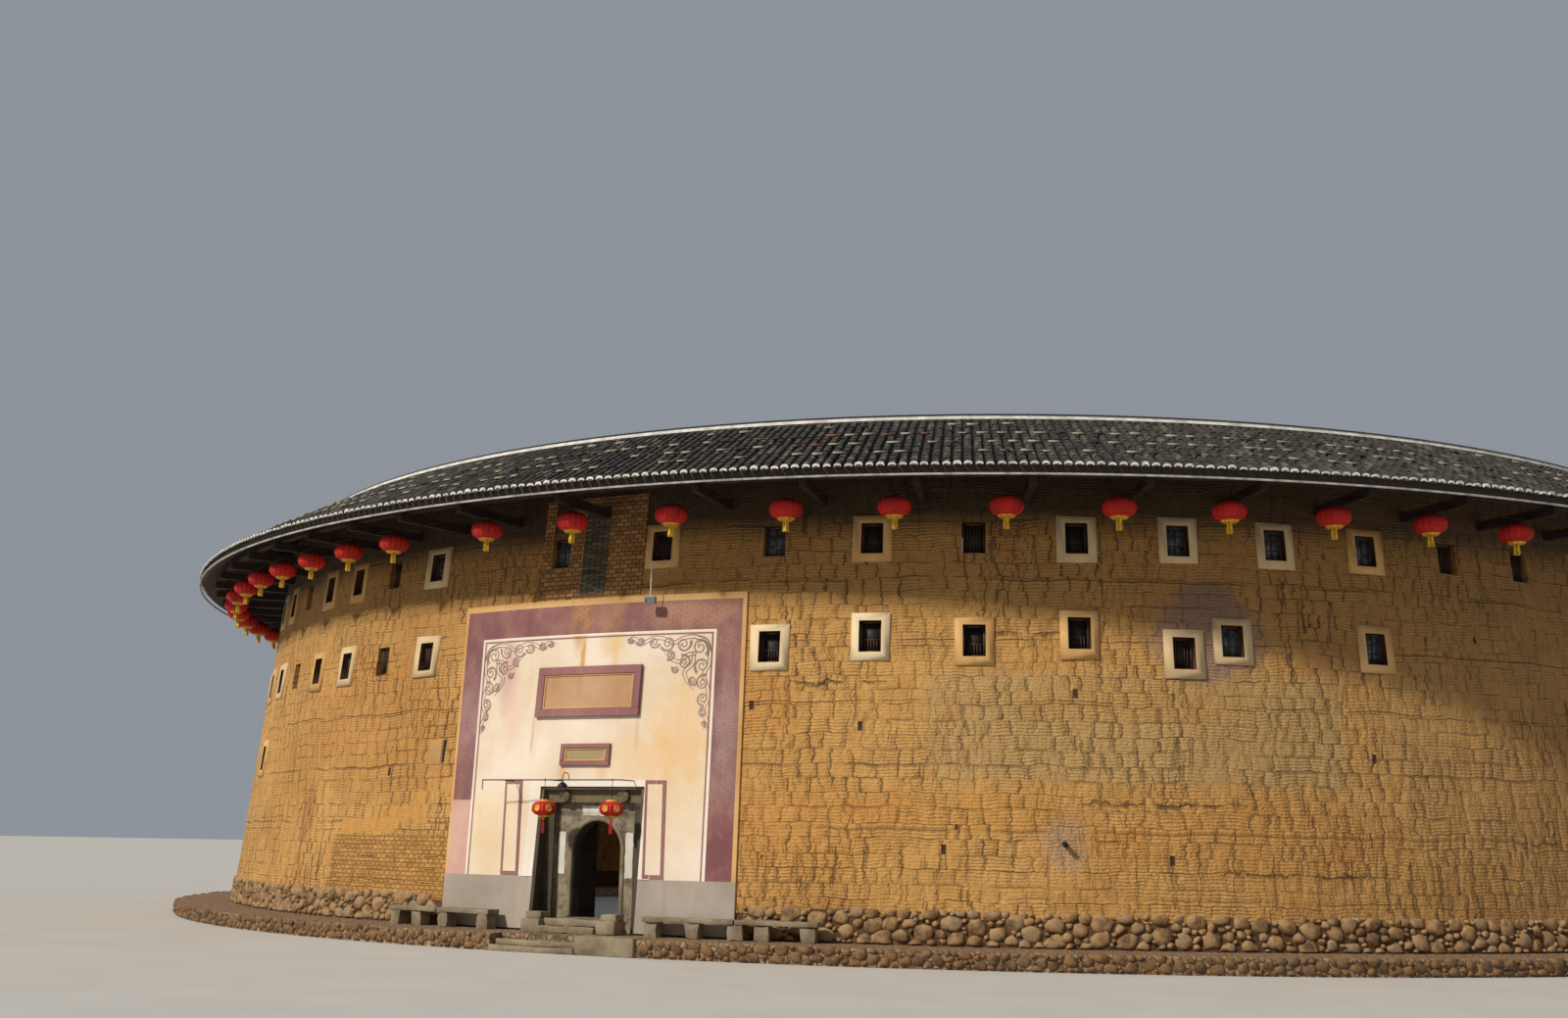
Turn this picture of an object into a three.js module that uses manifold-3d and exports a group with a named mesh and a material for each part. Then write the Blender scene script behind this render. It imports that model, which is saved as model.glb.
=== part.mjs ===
import * as THREE from "three";
import { mergeVertices } from "three/addons/utils/BufferGeometryUtils.js";
import Module from "manifold-3d";

// Tulou roundhouse: a ring-shaped house of rammed earth, four storeys high, as a scale model at 1:2.
// Up is +Z, the ring's axis is the Z axis, and the ground is at Z = 0.
// Azimuth is in degrees round that axis. It is 0 at the main doorway (-Y) and grows towards +X.
// Radii and heights are written in metres of the real house, times METRE.

const wasm = await Module();
wasm.setup();

// Scale and general gaps
const METRE = 500; // one real metre in millimetres of the 1:2 model
const GAP = 0.3; // between pieces that touch, in millimetres of the model
const TURN = 360;

// Facets: the round pieces are turned with flat facets, and one facet is centred on the doorway
const WALL_FACETS = 72;
const WEDGE_STEP = 30; // degrees between the corners of a cutting wedge's far side

// Storeys: top of the terrace and of each upper floor
const TERRACE_TOP = 0.45 * METRE;
const FLOOR_TOPS = [4.4 * METRE, 7.3 * METRE, 10.2 * METRE];
const FLOOR_THICKNESS = 0.25 * METRE;

// Terrace, footing and earth wall
const TERRACE_OUTER = 33.4 * METRE;
const TERRACE_INNER = 25.0 * METRE;
const FOOTING_TOP = 1.3 * METRE;
const WALL_OUTER = 31.3 * METRE; // at the terrace top
const WALL_INNER = 29.4 * METRE;
const WALL_BATTER = 0.09; // the outer face leans in by this much for each metre of height

// Roof: two slopes that meet over the wall's inner face
const ROOF_PITCH = 0.5; // rise over run
const ROOF_DEPTH = 0.35 * METRE; // tiles, boards and rafters, measured upright
const OUTER_EAVE = 33.6 * METRE;
const OUTER_EAVE_UNDER = 12.6 * METRE;
const RIDGE_RADIUS = 29.2 * METRE;
const INNER_EAVE = 24.6 * METRE;
const RIDGE_TOP = 15.4 * METRE;
const RIDGE_HALF_WIDTH = 0.25 * METRE;
const RIDGE_SIDE = 0.12 * METRE;
const RIDGE_UNDER = OUTER_EAVE_UNDER + (OUTER_EAVE - RIDGE_RADIUS) * ROOF_PITCH;

// Rooms: 72 on each storey, narrower on the left half of the ring than on the right
const ENTRANCE_RIGHT = 7.06; // degrees: the entrance hall takes two rooms' width
const ENTRANCE_LEFT = -7;
const ROOMS_RIGHT = 32;
const ROOMS_LEFT = 38;
const ROOM_RIGHT = (TURN / 2 - ENTRANCE_RIGHT) / ROOMS_RIGHT;
const ROOM_LEFT = (TURN / 2 + ENTRANCE_LEFT) / ROOMS_LEFT;
const FRONT_RIGHT_ROOMS = 4;
const FRONT_LEFT_ROOMS = 5;
const FRONT_RIGHT_END = ENTRANCE_RIGHT + FRONT_RIGHT_ROOMS * ROOM_RIGHT;
const FRONT_LEFT_END = ENTRANCE_LEFT - FRONT_LEFT_ROOMS * ROOM_LEFT;
// Rooms in each length of wall past the front, counted away from the doorway
const RIGHT_LENGTHS = [6, 6, 6, 5, 5];
const LEFT_LENGTHS = [7, 7, 7, 6, 6];

// Windows
const WINDOW_WIDTH = 0.66 * METRE;
const WINDOW_HEIGHT = 0.92 * METRE;
const WINDOW_MIDDLES = { second: 5.8 * METRE, third: 8.62 * METRE, fourth: 11.53 * METRE };
// The third storey's windows right of the doorway sit a little higher or lower than the rest.
const THIRD_STOREY_LIFTS = [-0.18, 0.09, -0.03, 0.21, -0.28, 0, 0.07].map((lift) => lift * METRE);
const ENTRANCE_WINDOWS = [-3.66, 3.12]; // on the fourth storey, over the doorway
const SECOND_STOREY_WINDOW = -38.4;
const NARROW_ROOM_WINDOW = 34; // a third-storey window between two others, right of the doorway
const NARROW_ROOM_LIFT = 0.1 * METRE;

// Doorway: a stone portal in the wall, with a stepped recess and an arch
const DOORWAY_HALF = 1.75 * METRE;
const DOORWAY_TOP = 4.5 * METRE;
const OVER_DOOR_ANGLE = 3.7; // degrees: the wall over the doorway rests this far out on both sides
const PORTAL_FACE = WALL_OUTER - WALL_BATTER * (DOORWAY_TOP - TERRACE_TOP); // at the doorway's top
const PORTAL_BACK = 30.15 * METRE;
const RECESS = { half: 1.66 * METRE, top: 4.42 * METRE, depth: 0.15 * METRE };
const ARCH_FACE = { half: 1.36 * METRE, top: 4.05 * METRE, depth: 0.35 * METRE };
const ARCH_HALF = 0.82 * METRE;
const ARCH_TOP = 3.55 * METRE;
const THRESHOLD_TOP = 0.83 * METRE;
const BOSS = { x: 1.0 * METRE, z: 4.24 * METRE, radius: 0.16 * METRE, depth: 0.08 * METRE };
const BOSS_ROOT = 0.02 * METRE; // how far a boss reaches into the stone behind it

// Door leaves: a pair that closes against the back of the portal and stands open inwards.
// Each turns on a round post, between the terrace and a timber head beam.
const LEAF_CLEARANCE = 6; // millimetres of the model
const LEAF_THICKNESS = 0.09 * METRE;
const HINGE_X = 0.95 * METRE;
const HINGE_Y = -PORTAL_BACK + LEAF_CLEARANCE + LEAF_THICKNESS / 2;
const LEAF_WIDTH = HINGE_X - LEAF_CLEARANCE / 2;
const LEAF_BOTTOM = TERRACE_TOP + 0.03 * METRE;
const LEAF_TOP = 3.75 * METRE;
const HEAD_BOTTOM = 3.8 * METRE;
const HEAD_TOP = 4.05 * METRE;
const HEAD_DEPTH = 0.3 * METRE;

// Plaster panel round the doorway, and what is on it
const PANEL_LEFT = -10.1;
const PANEL_RIGHT = 8.5;
const PANEL_BOTTOM = 0.5 * METRE;
const PANEL_TOP = 10.05 * METRE;
const PANEL_DEPTH = 0.06 * METRE;
const PLAQUE = { from: -4.15, to: 2.6, bottom: 6.52 * METRE, top: 8.0 * METRE, depth: 0.12 * METRE };
const NICHE = { from: -2.15, to: 1, bottom: 5.1 * METRE, top: 5.73 * METRE, depth: 0.1 * METRE };
const NICHE_BORDER = 0.1 * METRE;

// Stone steps and the stones beside them, on the terrace
const STEPS_HALF = 0.93 * METRE;
const STEP_RISE = 0.19 * METRE;
const LOWER_STEP_FRONT = -32.05 * METRE;
const UPPER_STEP_FRONT = -31.72 * METRE;
const SIDE_STONE = { outer: 1.55 * METRE, front: -31.95 * METRE, top: 1.0 * METRE };

// Steps let into the terrace edge, with a block beside them
const EDGE_STEPS = { left: -1.6 * METRE, right: 1.15 * METRE, back: -32.85 * METRE };
const EDGE_TREADS = [
  { front: -33.35 * METRE, top: 0.15 * METRE },
  { front: -33.1 * METRE, top: 0.3 * METRE },
];
const EDGE_BLOCK = { right: 3.0 * METRE, front: -33.3 * METRE, top: 0.5 * METRE };

// Stone benches beside the doorway, each one slab on blocks
const BENCH = { inner: 31.5 * METRE, outer: 31.98 * METRE, bottom: 0.86 * METRE, top: 0.99 * METRE };
const BENCH_BLOCK_WIDTH = 0.4 * METRE;
const BENCH_BLOCK_INSET = 0.04 * METRE; // behind the slab's edges
const BENCHES = [
  { name: "bench_right", from: 4.2, to: 13.2, blocks: [4.7, 6.9, 9.1, 10.4, 12.7] },
  { name: "bench_left", from: -12.4, to: -4.9, blocks: [-11.9, -10.2, -8.2, -5.4] },
];

// Iron rod over the doorway with two lanterns and a lamp, and a floodlight over the panel
const ROD = { left: -3.35 * METRE, right: 1.45 * METRE, y: -31.65 * METRE, z: 4.66 * METRE };
const ROD_DROP = 0.28 * METRE; // how far the rod's left end is bent down
const ROD_THICKNESS = 0.035 * METRE;
const ROD_BRACKETS = [-2.72 * METRE, -1.0 * METRE, 1.4 * METRE];
const LAMP = { x: -0.35 * METRE, reach: 0.3 * METRE, radius: 0.15 * METRE, height: 0.14 * METRE };
const HUNG_LANTERNS = { left: -1.15 * METRE, right: 1.12 * METRE };
const HUNG_LANTERN_MIDDLE = 3.86 * METRE;
const HUNG_LANTERN_RADIUS = 0.35 * METRE;
const HUNG_LANTERN_HALF_HEIGHT = 0.25 * METRE;
const TASSEL = { radius: 0.07 * METRE, bottom: 3.16 * METRE };
const FLOODLIGHT = { x: 1.65 * METRE, y: -30.85 * METRE, bottom: 9.72 * METRE, top: 9.95 * METRE };
const FLOODLIGHT_HALF = 0.17 * METRE;
const FLOODLIGHT_POLE_TOP = 11.0 * METRE;

// Lanterns under the outer eave, hung from a wire below the bracket beams
const BEAM_END = 32.95 * METRE;
const BEAM_BOTTOM = 12.5 * METRE;
const BEAM_HEIGHT = 0.26 * METRE;
const BEAM_WIDTH = 0.2 * METRE;
const PURLIN_OUTER = 32.8 * METRE;
const PURLIN_INNER = 32.56 * METRE;
const WIRE_RADIUS = 32.1 * METRE;
const WIRE_THICKNESS = 0.03 * METRE;
const LANTERN_MIDDLE = 12.05 * METRE;
const LANTERN_RADIUS = 0.47 * METRE;
const LANTERN_HALF_HEIGHT = 0.33 * METRE;
const ENTRANCE_LANTERNS = [-6.3, 5.2];
const FIRST_LANTERN_RIGHT = 11.3;
const FIRST_LANTERN_LEFT = -13.8;
const ENTRANCE_BEAM = -0.6;

// Courtyard side: posts, floor edges and parapets
const FRAME_OUTER = 25.6 * METRE;
const FRAME_INNER = 25.35 * METRE;
const FRAME_BAYS = 36;
const POST_WIDTH = 0.3 * METRE;
const PARAPET = 0.95 * METRE;
const HEAD_BEAM_BOTTOM = 12.55 * METRE;

// Colours from the photograph
const material = (color, roughness, metalness = 0) =>
  new THREE.MeshStandardMaterial({ color, roughness, metalness });
const EARTH = material(0xb98a4a, 0.95);
const COBBLE = material(0x9a7a55, 0.9);
const DRESSED_STONE = material(0x8d8068, 0.85);
const PLASTER = material(0xe8d6b4, 0.9);
const TILE = material(0x4a4642, 0.85);
const LIME = material(0xd8d2c6, 0.85);
const TIMBER = material(0x4b3524, 0.8);
const DOOR_WOOD = material(0x2c211b, 0.7);
const SIGN = material(0xc98a3c, 0.6);
const RED_CLOTH = material(0xc01e1a, 0.6);
const IRON = material(0x2b2a2a, 0.5, 0.8);

const house = new THREE.Group();

// Solids
const radians = THREE.MathUtils.degToRad;

// A geometry as a solid: its normals and texture coordinates go, and its shared corners are merged.
function solidFrom(geometry) {
  const bare = geometry.index ? geometry.toNonIndexed() : geometry.clone();
  bare.deleteAttribute("normal");
  bare.deleteAttribute("uv");
  const merged = mergeVertices(bare, 1e-2);
  const vertProperties = merged.attributes.position.array;
  const triVerts = new Uint32Array(merged.index.array);
  const solid = new wasm.Manifold(new wasm.Mesh({ numProp: 3, vertProperties, triVerts }));
  if (solid.volume() >= 0) return solid;
  for (let i = 0; i < triVerts.length; i += 3)
    [triVerts[i + 1], triVerts[i + 2]] = [triVerts[i + 2], triVerts[i + 1]];
  return new wasm.Manifold(new wasm.Mesh({ numProp: 3, vertProperties, triVerts }));
}

// A solid as a named piece of the house.
function addPiece(name, solid, finish, parent = house) {
  const { vertProperties, triVerts } = solid.getMesh();
  const geometry = new THREE.BufferGeometry();
  geometry.setAttribute("position", new THREE.BufferAttribute(new Float32Array(vertProperties), 3));
  geometry.setIndex(new THREE.BufferAttribute(new Uint32Array(triVerts), 1));
  geometry.computeVertexNormals();
  const mesh = new THREE.Mesh(geometry, finish);
  mesh.name = name;
  parent.add(mesh);
  return mesh;
}

// A full ring turned round the Z axis from a closed profile of [radius, height] points.
function ring(profile, facets = WALL_FACETS) {
  const closed = [...profile, profile[0]].map(([r, z]) => new THREE.Vector2(r, z));
  const start = -Math.PI / facets;
  const lathe = new THREE.LatheGeometry(closed, facets, start, 2 * Math.PI);
  const position = lathe.attributes.position;
  const last = facets * closed.length;
  closed.forEach((_, i) =>
    position.setXYZ(last + i, position.getX(i), position.getY(i), position.getZ(i)),
  );
  return solidFrom(lathe.rotateX(Math.PI / 2));
}

// A wedge of space between two azimuths, a little inside both, for cutting a ring into lengths.
function wedge(from, to) {
  const inset = THREE.MathUtils.radToDeg(GAP / 2 / FRAME_INNER);
  const far = 1.2 * OUTER_EAVE;
  const steps = Math.ceil((to - from) / WEDGE_STEP);
  const corners = [new THREE.Vector2(0, 0)];
  for (let i = 0; i <= steps; i++) {
    const azimuth = radians(from + inset + ((to - from - 2 * inset) * i) / steps);
    corners.push(new THREE.Vector2(far * Math.sin(azimuth), -far * Math.cos(azimuth)));
  }
  const shape = new THREE.Shape(corners);
  const depth = RIDGE_TOP * 1.2;
  return solidFrom(new THREE.ExtrudeGeometry(shape, { depth, bevelEnabled: false }));
}

// A box given by its lowest and highest corners, turned to an azimuth.
function box([x0, y0, z0], [x1, y1, z1], azimuth = 0) {
  const geometry = new THREE.BoxGeometry(x1 - x0, y1 - y0, z1 - z0);
  geometry.translate((x0 + x1) / 2, (y0 + y1) / 2, (z0 + z1) / 2);
  return solidFrom(geometry.rotateZ(radians(azimuth)));
}

const joined = (solids) => solids.reduce((all, solid) => all.add(solid));
const without = (solid, holes) => holes.reduce((rest, hole) => rest.subtract(hole), solid);

// Surfaces
const wallRadius = (z) => WALL_OUTER - WALL_BATTER * (z - TERRACE_TOP);
const outerUnder = (r) => OUTER_EAVE_UNDER + (OUTER_EAVE - r) * ROOF_PITCH;
const innerUnder = (r) => RIDGE_UNDER - (RIDGE_RADIUS - r) * ROOF_PITCH;

// The radius at which the wall's face meets the underside of the roof.
const WALL_TOP_RADIUS =
  (WALL_OUTER - WALL_BATTER * (OUTER_EAVE_UNDER + OUTER_EAVE * ROOF_PITCH - TERRACE_TOP)) /
  (1 - WALL_BATTER * ROOF_PITCH);

// Everything inside the wall's face moved out by a distance.
const insideFace = (out) =>
  ring([
    [WALL_INNER / 2, 0],
    [wallRadius(0) + out, 0],
    [wallRadius(RIDGE_TOP) + out, RIDGE_TOP],
    [WALL_INNER / 2, RIDGE_TOP],
  ]);

// Terrace of cobbles, and the wall's cobble footing
function buildBase() {
  const slab = ring([
    [TERRACE_INNER, 0],
    [TERRACE_OUTER, 0],
    [TERRACE_OUTER, TERRACE_TOP],
    [TERRACE_INNER, TERRACE_TOP],
  ]);
  const terrace = slab.subtract(edgeNotch(GAP));
  addPiece("terrace_right", terrace.intersect(wedge(0, 180)), COBBLE);
  addPiece("terrace_left", terrace.intersect(wedge(-180, 0)), COBBLE);
  const footing = without(wallLength(TERRACE_TOP, FOOTING_TOP), [doorwayCut()]);
  addPiece("footing_right", footing.intersect(wedge(0, 180)), COBBLE);
  addPiece("footing_left", footing.intersect(wedge(-180, 0)), COBBLE);
}

// The earth wall between two heights, all round.
function wallLength(bottom, top) {
  return ring([
    [WALL_INNER, bottom],
    [wallRadius(bottom), bottom],
    [wallRadius(top), top],
    [WALL_INNER, top],
  ]);
}

// The earth wall from a height up to the underside of the roof, all round.
function wallUpToRoof(bottom) {
  return ring([
    [WALL_INNER, bottom],
    [wallRadius(bottom), bottom],
    [WALL_TOP_RADIUS, outerUnder(WALL_TOP_RADIUS) - GAP],
    [WALL_INNER, outerUnder(WALL_INNER) - GAP],
  ]);
}

const doorwayCut = (top = DOORWAY_TOP) =>
  box([-DOORWAY_HALF, -1.1 * WALL_OUTER, 0], [DOORWAY_HALF, -0.9 * WALL_INNER, top]);

function windowCut(azimuth, middle) {
  const low = [-WINDOW_WIDTH / 2, -1.05 * WALL_OUTER, middle - WINDOW_HEIGHT / 2];
  const high = [WINDOW_WIDTH / 2, -0.95 * WALL_INNER, middle + WINDOW_HEIGHT / 2];
  return box(low, high, azimuth);
}

const rightRoom = (n) => ENTRANCE_RIGHT + (n - 0.5) * ROOM_RIGHT;
const leftRoom = (n) => ENTRANCE_LEFT - (n - 0.5) * ROOM_LEFT;

// Azimuths of the windows of one storey. Every room on the fourth storey has one but the first
// on the left. On the third, the right side has gaps, and past a quarter turn every other room.
function windowAzimuths(storey) {
  const right = [];
  const left = [];
  const gapsOnTheRight = [6, 8, 9];
  for (let n = 1; n <= ROOMS_RIGHT; n++) {
    const far = rightRoom(n) > 90 && n % 2 === 0;
    if (storey === "fourth" || (!gapsOnTheRight.includes(n) && !far)) right.push(rightRoom(n));
  }
  for (let n = 1; n <= ROOMS_LEFT; n++) {
    const far = storey === "third" && leftRoom(n) < -90 && n % 2 === 0;
    if (n > 1 && !far) left.push(leftRoom(n));
  }
  if (storey === "third") right.push(NARROW_ROOM_WINDOW);
  return [...right, ...left];
}

function windowMiddle(storey, azimuth) {
  const middle = WINDOW_MIDDLES[storey];
  if (azimuth === NARROW_ROOM_WINDOW) return middle + NARROW_ROOM_LIFT;
  if (storey !== "third" || azimuth < 0) return middle;
  const room = Math.round((azimuth - ENTRANCE_RIGHT) / ROOM_RIGHT + 0.5);
  return middle + (THIRD_STOREY_LIFTS[room - 1] ?? 0);
}

const windowsBetween = (storey, from, to) =>
  windowAzimuths(storey)
    .filter((azimuth) => azimuth > from && azimuth < to)
    .map((azimuth) => windowCut(azimuth, windowMiddle(storey, azimuth)));

function buildWall() {
  const [, thirdFloor, fourthFloor] = FLOOR_TOPS;
  const sides = [
    ["front_right", ENTRANCE_RIGHT, FRONT_RIGHT_END],
    ["front_left", FRONT_LEFT_END, ENTRANCE_LEFT],
  ];
  for (const [side, from, to] of sides) {
    const lower = wallLength(FOOTING_TOP, thirdFloor).intersect(
      wedge(Math.min(from, 0), Math.max(to, 0)),
    );
    addPiece("wall_" + side + "_lower", lower.subtract(besideDoorCut()), EARTH);
    const third = wallLength(thirdFloor, fourthFloor).intersect(wedge(from, to));
    addPiece("wall_" + side + "_third", without(third, windowsBetween("third", from, to)), EARTH);
    const fourth = wallUpToRoof(fourthFloor).intersect(wedge(from, to));
    addPiece("wall_" + side + "_fourth", without(fourth, windowsBetween("fourth", from, to)), EARTH);
  }
  const overDoor = wallLength(DOORWAY_TOP, thirdFloor).intersect(
    wedge(-OVER_DOOR_ANGLE, OVER_DOOR_ANGLE),
  );
  const entrance = wallUpToRoof(thirdFloor).intersect(wedge(ENTRANCE_LEFT, ENTRANCE_RIGHT));
  const entranceWindows = ENTRANCE_WINDOWS.map((azimuth) =>
    windowCut(azimuth, WINDOW_MIDDLES.fourth),
  );
  addPiece("wall_over_door", without(overDoor.add(entrance), entranceWindows), EARTH);
  const rest = [
    ["right", FRONT_RIGHT_END, ROOM_RIGHT, RIGHT_LENGTHS],
    ["left", FRONT_LEFT_END, -ROOM_LEFT, LEFT_LENGTHS],
  ];
  for (const [side, start, room, lengths] of rest) {
    let near = start;
    lengths.forEach((rooms, i) => {
      const far = near + rooms * room;
      addPiece(`wall_${side}_${i + 1}`, wallWithWindows(Math.min(near, far), Math.max(near, far)), EARTH);
      near = far;
    });
  }
}

// The earth wall between two azimuths, from the footing to the roof, with its window holes
function wallWithWindows(from, to) {
  const holes = [...windowsBetween("third", from, to), ...windowsBetween("fourth", from, to)];
  if (SECOND_STOREY_WINDOW > from && SECOND_STOREY_WINDOW < to)
    holes.push(windowCut(SECOND_STOREY_WINDOW, WINDOW_MIDDLES.second));
  return without(wallUpToRoof(FOOTING_TOP).intersect(wedge(from, to)), holes);
}

// What the lower front walls leave free: the doorway, and the wall over it with a gap beside it.
function besideDoorCut() {
  const clear = 0.002; // degrees
  const space = wedge(-OVER_DOOR_ANGLE - clear, OVER_DOOR_ANGLE + clear);
  const over = ring([
    [WALL_INNER - METRE, DOORWAY_TOP],
    [WALL_OUTER + METRE, DOORWAY_TOP],
    [WALL_OUTER + METRE, FLOOR_TOPS[1] + METRE],
    [WALL_INNER - METRE, FLOOR_TOPS[1] + METRE],
  ]);
  return doorwayCut(DOORWAY_TOP + METRE).add(over.intersect(space));
}

// Floors of the upper storeys, from the earth wall to the courtyard side: their outer edge has the
// wall's facets, and their inner edge those of the frame on the courtyard side
function buildFloors() {
  const names = ["second", "third", "fourth"];
  const outerEdge = WALL_INNER - GAP / Math.cos(Math.PI / WALL_FACETS);
  const insideFrame = ring(
    [
      [FRAME_INNER / 2, 0],
      [FRAME_OUTER + GAP, 0],
      [FRAME_OUTER + GAP, RIDGE_TOP],
      [FRAME_INNER / 2, RIDGE_TOP],
    ],
    FRAME_BAYS,
  );
  FLOOR_TOPS.forEach((top, i) => {
    const floor = ring([
      [FRAME_INNER, top - FLOOR_THICKNESS],
      [outerEdge, top - FLOOR_THICKNESS],
      [outerEdge, top],
      [FRAME_INNER, top],
    ]).subtract(insideFrame);
    addPiece(names[i] + "_floor_right", floor.intersect(wedge(0, 180)), TIMBER);
    addPiece(names[i] + "_floor_left", floor.intersect(wedge(-180, 0)), TIMBER);
  });
}

// Posts, floor edges and parapets of the courtyard side, as one frame in four lengths that meet
// in the middle of a post
function buildGalleries() {
  const flat = (FRAME_INNER * Math.cos(Math.PI / FRAME_BAYS)) / Math.cos(Math.PI / WALL_FACETS);
  const top = innerUnder(flat) - GAP;
  const shell = ring(
    [
      [FRAME_INNER, TERRACE_TOP],
      [FRAME_OUTER, TERRACE_TOP],
      [FRAME_OUTER, top],
      [FRAME_INNER, top],
    ],
    FRAME_BAYS,
  );
  const bay = TURN / FRAME_BAYS;
  const half = FRAME_INNER * Math.tan(radians(bay / 2)) - POST_WIDTH / 2;
  const openings = [[0, FLOOR_TOPS[0] - FLOOR_THICKNESS]];
  FLOOR_TOPS.forEach((floor, i) => {
    const next = FLOOR_TOPS[i + 1];
    openings.push([floor + PARAPET, next ? next - FLOOR_THICKNESS : HEAD_BEAM_BOTTOM]);
  });
  const names = ["front_right", "back_right", "back_left", "front_left"];
  names.forEach((name, i) => {
    const from = i * 90 - bay / 2;
    const cuts = [];
    for (let azimuth = from + bay / 2; azimuth < from + 90; azimuth += bay)
      for (const [low, high] of openings)
        cuts.push(box([-half, -1.1 * FRAME_OUTER, low], [half, -0.9 * FRAME_INNER, high], azimuth));
    addPiece("gallery_" + name, without(shell.intersect(wedge(from, from + 90)), cuts), TIMBER);
  });
}

// Roof slopes, ridge and the bracket beams under the outer eave
function buildRoof() {
  const outer = ring([
    [RIDGE_RADIUS + GAP / 2, outerUnder(RIDGE_RADIUS + GAP / 2)],
    [OUTER_EAVE, OUTER_EAVE_UNDER],
    [OUTER_EAVE, OUTER_EAVE_UNDER + ROOF_DEPTH],
    [RIDGE_RADIUS + GAP / 2, outerUnder(RIDGE_RADIUS + GAP / 2) + ROOF_DEPTH],
  ]);
  const inner = ring([
    [INNER_EAVE, innerUnder(INNER_EAVE)],
    [RIDGE_RADIUS - GAP / 2, innerUnder(RIDGE_RADIUS - GAP / 2)],
    [RIDGE_RADIUS - GAP / 2, innerUnder(RIDGE_RADIUS - GAP / 2) + ROOF_DEPTH],
    [INNER_EAVE, innerUnder(INNER_EAVE) + ROOF_DEPTH],
  ]);
  const ridgeSeat = (r) =>
    (r < RIDGE_RADIUS ? innerUnder(r) : outerUnder(r)) + ROOF_DEPTH + GAP;
  const low = RIDGE_RADIUS - RIDGE_HALF_WIDTH;
  const high = RIDGE_RADIUS + RIDGE_HALF_WIDTH;
  const ridge = ring([
    [low, ridgeSeat(low)],
    [RIDGE_RADIUS, ridgeSeat(RIDGE_RADIUS)],
    [high, ridgeSeat(high)],
    [high, ridgeSeat(high) + RIDGE_SIDE],
    [RIDGE_RADIUS, RIDGE_TOP],
    [low, ridgeSeat(low) + RIDGE_SIDE],
  ]);
  const quarters = ["front_right", "back_right", "back_left", "front_left"];
  quarters.forEach((name, i) => {
    addPiece("outer_roof_" + name, outer.intersect(wedge(i * 90, i * 90 + 90)), TILE);
  });
  for (const [name, from] of [["right", 0], ["left", -180]]) {
    addPiece("inner_roof_" + name, inner.intersect(wedge(from, from + 180)), TILE);
    addPiece("ridge_" + name, ridge.intersect(wedge(from, from + 180)), LIME);
  }
}

// Azimuths of the bracket beams: one between every two rooms, and one in the entrance bay.
function beamAzimuths() {
  const azimuths = [ENTRANCE_BEAM];
  for (let n = 0; n < ROOMS_RIGHT; n++) azimuths.push(ENTRANCE_RIGHT + n * ROOM_RIGHT);
  for (let n = 0; n < ROOMS_LEFT; n++) azimuths.push(ENTRANCE_LEFT - n * ROOM_LEFT);
  return azimuths;
}

function buildEaveFrames() {
  const purlin = ring([
    [PURLIN_INNER, BEAM_BOTTOM + BEAM_HEIGHT - GAP],
    [PURLIN_OUTER, BEAM_BOTTOM + BEAM_HEIGHT - GAP],
    [PURLIN_OUTER, outerUnder(PURLIN_OUTER) - GAP],
    [PURLIN_INNER, outerUnder(PURLIN_INNER) - GAP],
  ]);
  const face = insideFace(GAP);
  for (const [name, from] of [["right", 0], ["left", -180]]) {
    const beams = beamAzimuths()
      .filter((azimuth) => azimuth > from && azimuth < from + 180)
      .map((azimuth) =>
        box(
          [-BEAM_WIDTH / 2, -BEAM_END, BEAM_BOTTOM],
          [BEAM_WIDTH / 2, -WALL_INNER, BEAM_BOTTOM + BEAM_HEIGHT],
          azimuth,
        ),
      );
    const length = purlin.intersect(wedge(from, from + 180));
    addPiece("eave_frame_" + name, joined([length, ...beams]).subtract(face), TIMBER);
  }
}

// Lanterns under the eave, on a wire that lies against the bracket beams
function lanternAzimuths() {
  const azimuths = [...ENTRANCE_LANTERNS, ENTRANCE_BEAM];
  for (let a = FIRST_LANTERN_RIGHT; a < TURN / 2; a += ROOM_RIGHT) azimuths.push(a);
  for (let a = FIRST_LANTERN_LEFT; a > -TURN / 2; a -= ROOM_LEFT) azimuths.push(a);
  return azimuths;
}

// A lantern as a closed round body between two ends on its axis.
function lanternBody(radius, halfHeight, bottom, top, sides) {
  const points = [
    new THREE.Vector2(0, bottom),
    new THREE.Vector2(radius, -halfHeight * 0.3),
    new THREE.Vector2(radius, halfHeight * 0.4),
    new THREE.Vector2(0, top),
  ];
  return new THREE.LatheGeometry(points, sides).rotateX(Math.PI / 2);
}

function buildEaveLanterns() {
  const wireTop = BEAM_BOTTOM;
  const wireBottom = wireTop - WIRE_THICKNESS;
  const flat = WIRE_RADIUS * Math.cos(Math.PI / WALL_FACETS);
  const wire = ring([
    [flat - WIRE_THICKNESS, wireTop],
    [(flat + WIRE_RADIUS) / 2, wireBottom],
    [WIRE_RADIUS + WIRE_THICKNESS, wireTop],
  ]);
  for (const [name, from] of [["right", 0], ["left", -180]]) {
    const hung = lanternAzimuths()
      .filter((azimuth) => azimuth > from && azimuth < from + 180)
      .map((azimuth) => {
        const top = wireTop - LANTERN_MIDDLE - WIRE_THICKNESS / 3;
        const body = lanternBody(LANTERN_RADIUS, LANTERN_HALF_HEIGHT, -LANTERN_HALF_HEIGHT, top, 6);
        body.translate(0, -flat, LANTERN_MIDDLE);
        return solidFrom(body.rotateZ(radians(azimuth)));
      });
    const length = wire.intersect(wedge(from, from + 180));
    addPiece("eave_lanterns_" + name, joined([length, ...hung]), RED_CLOTH);
  }
}

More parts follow.
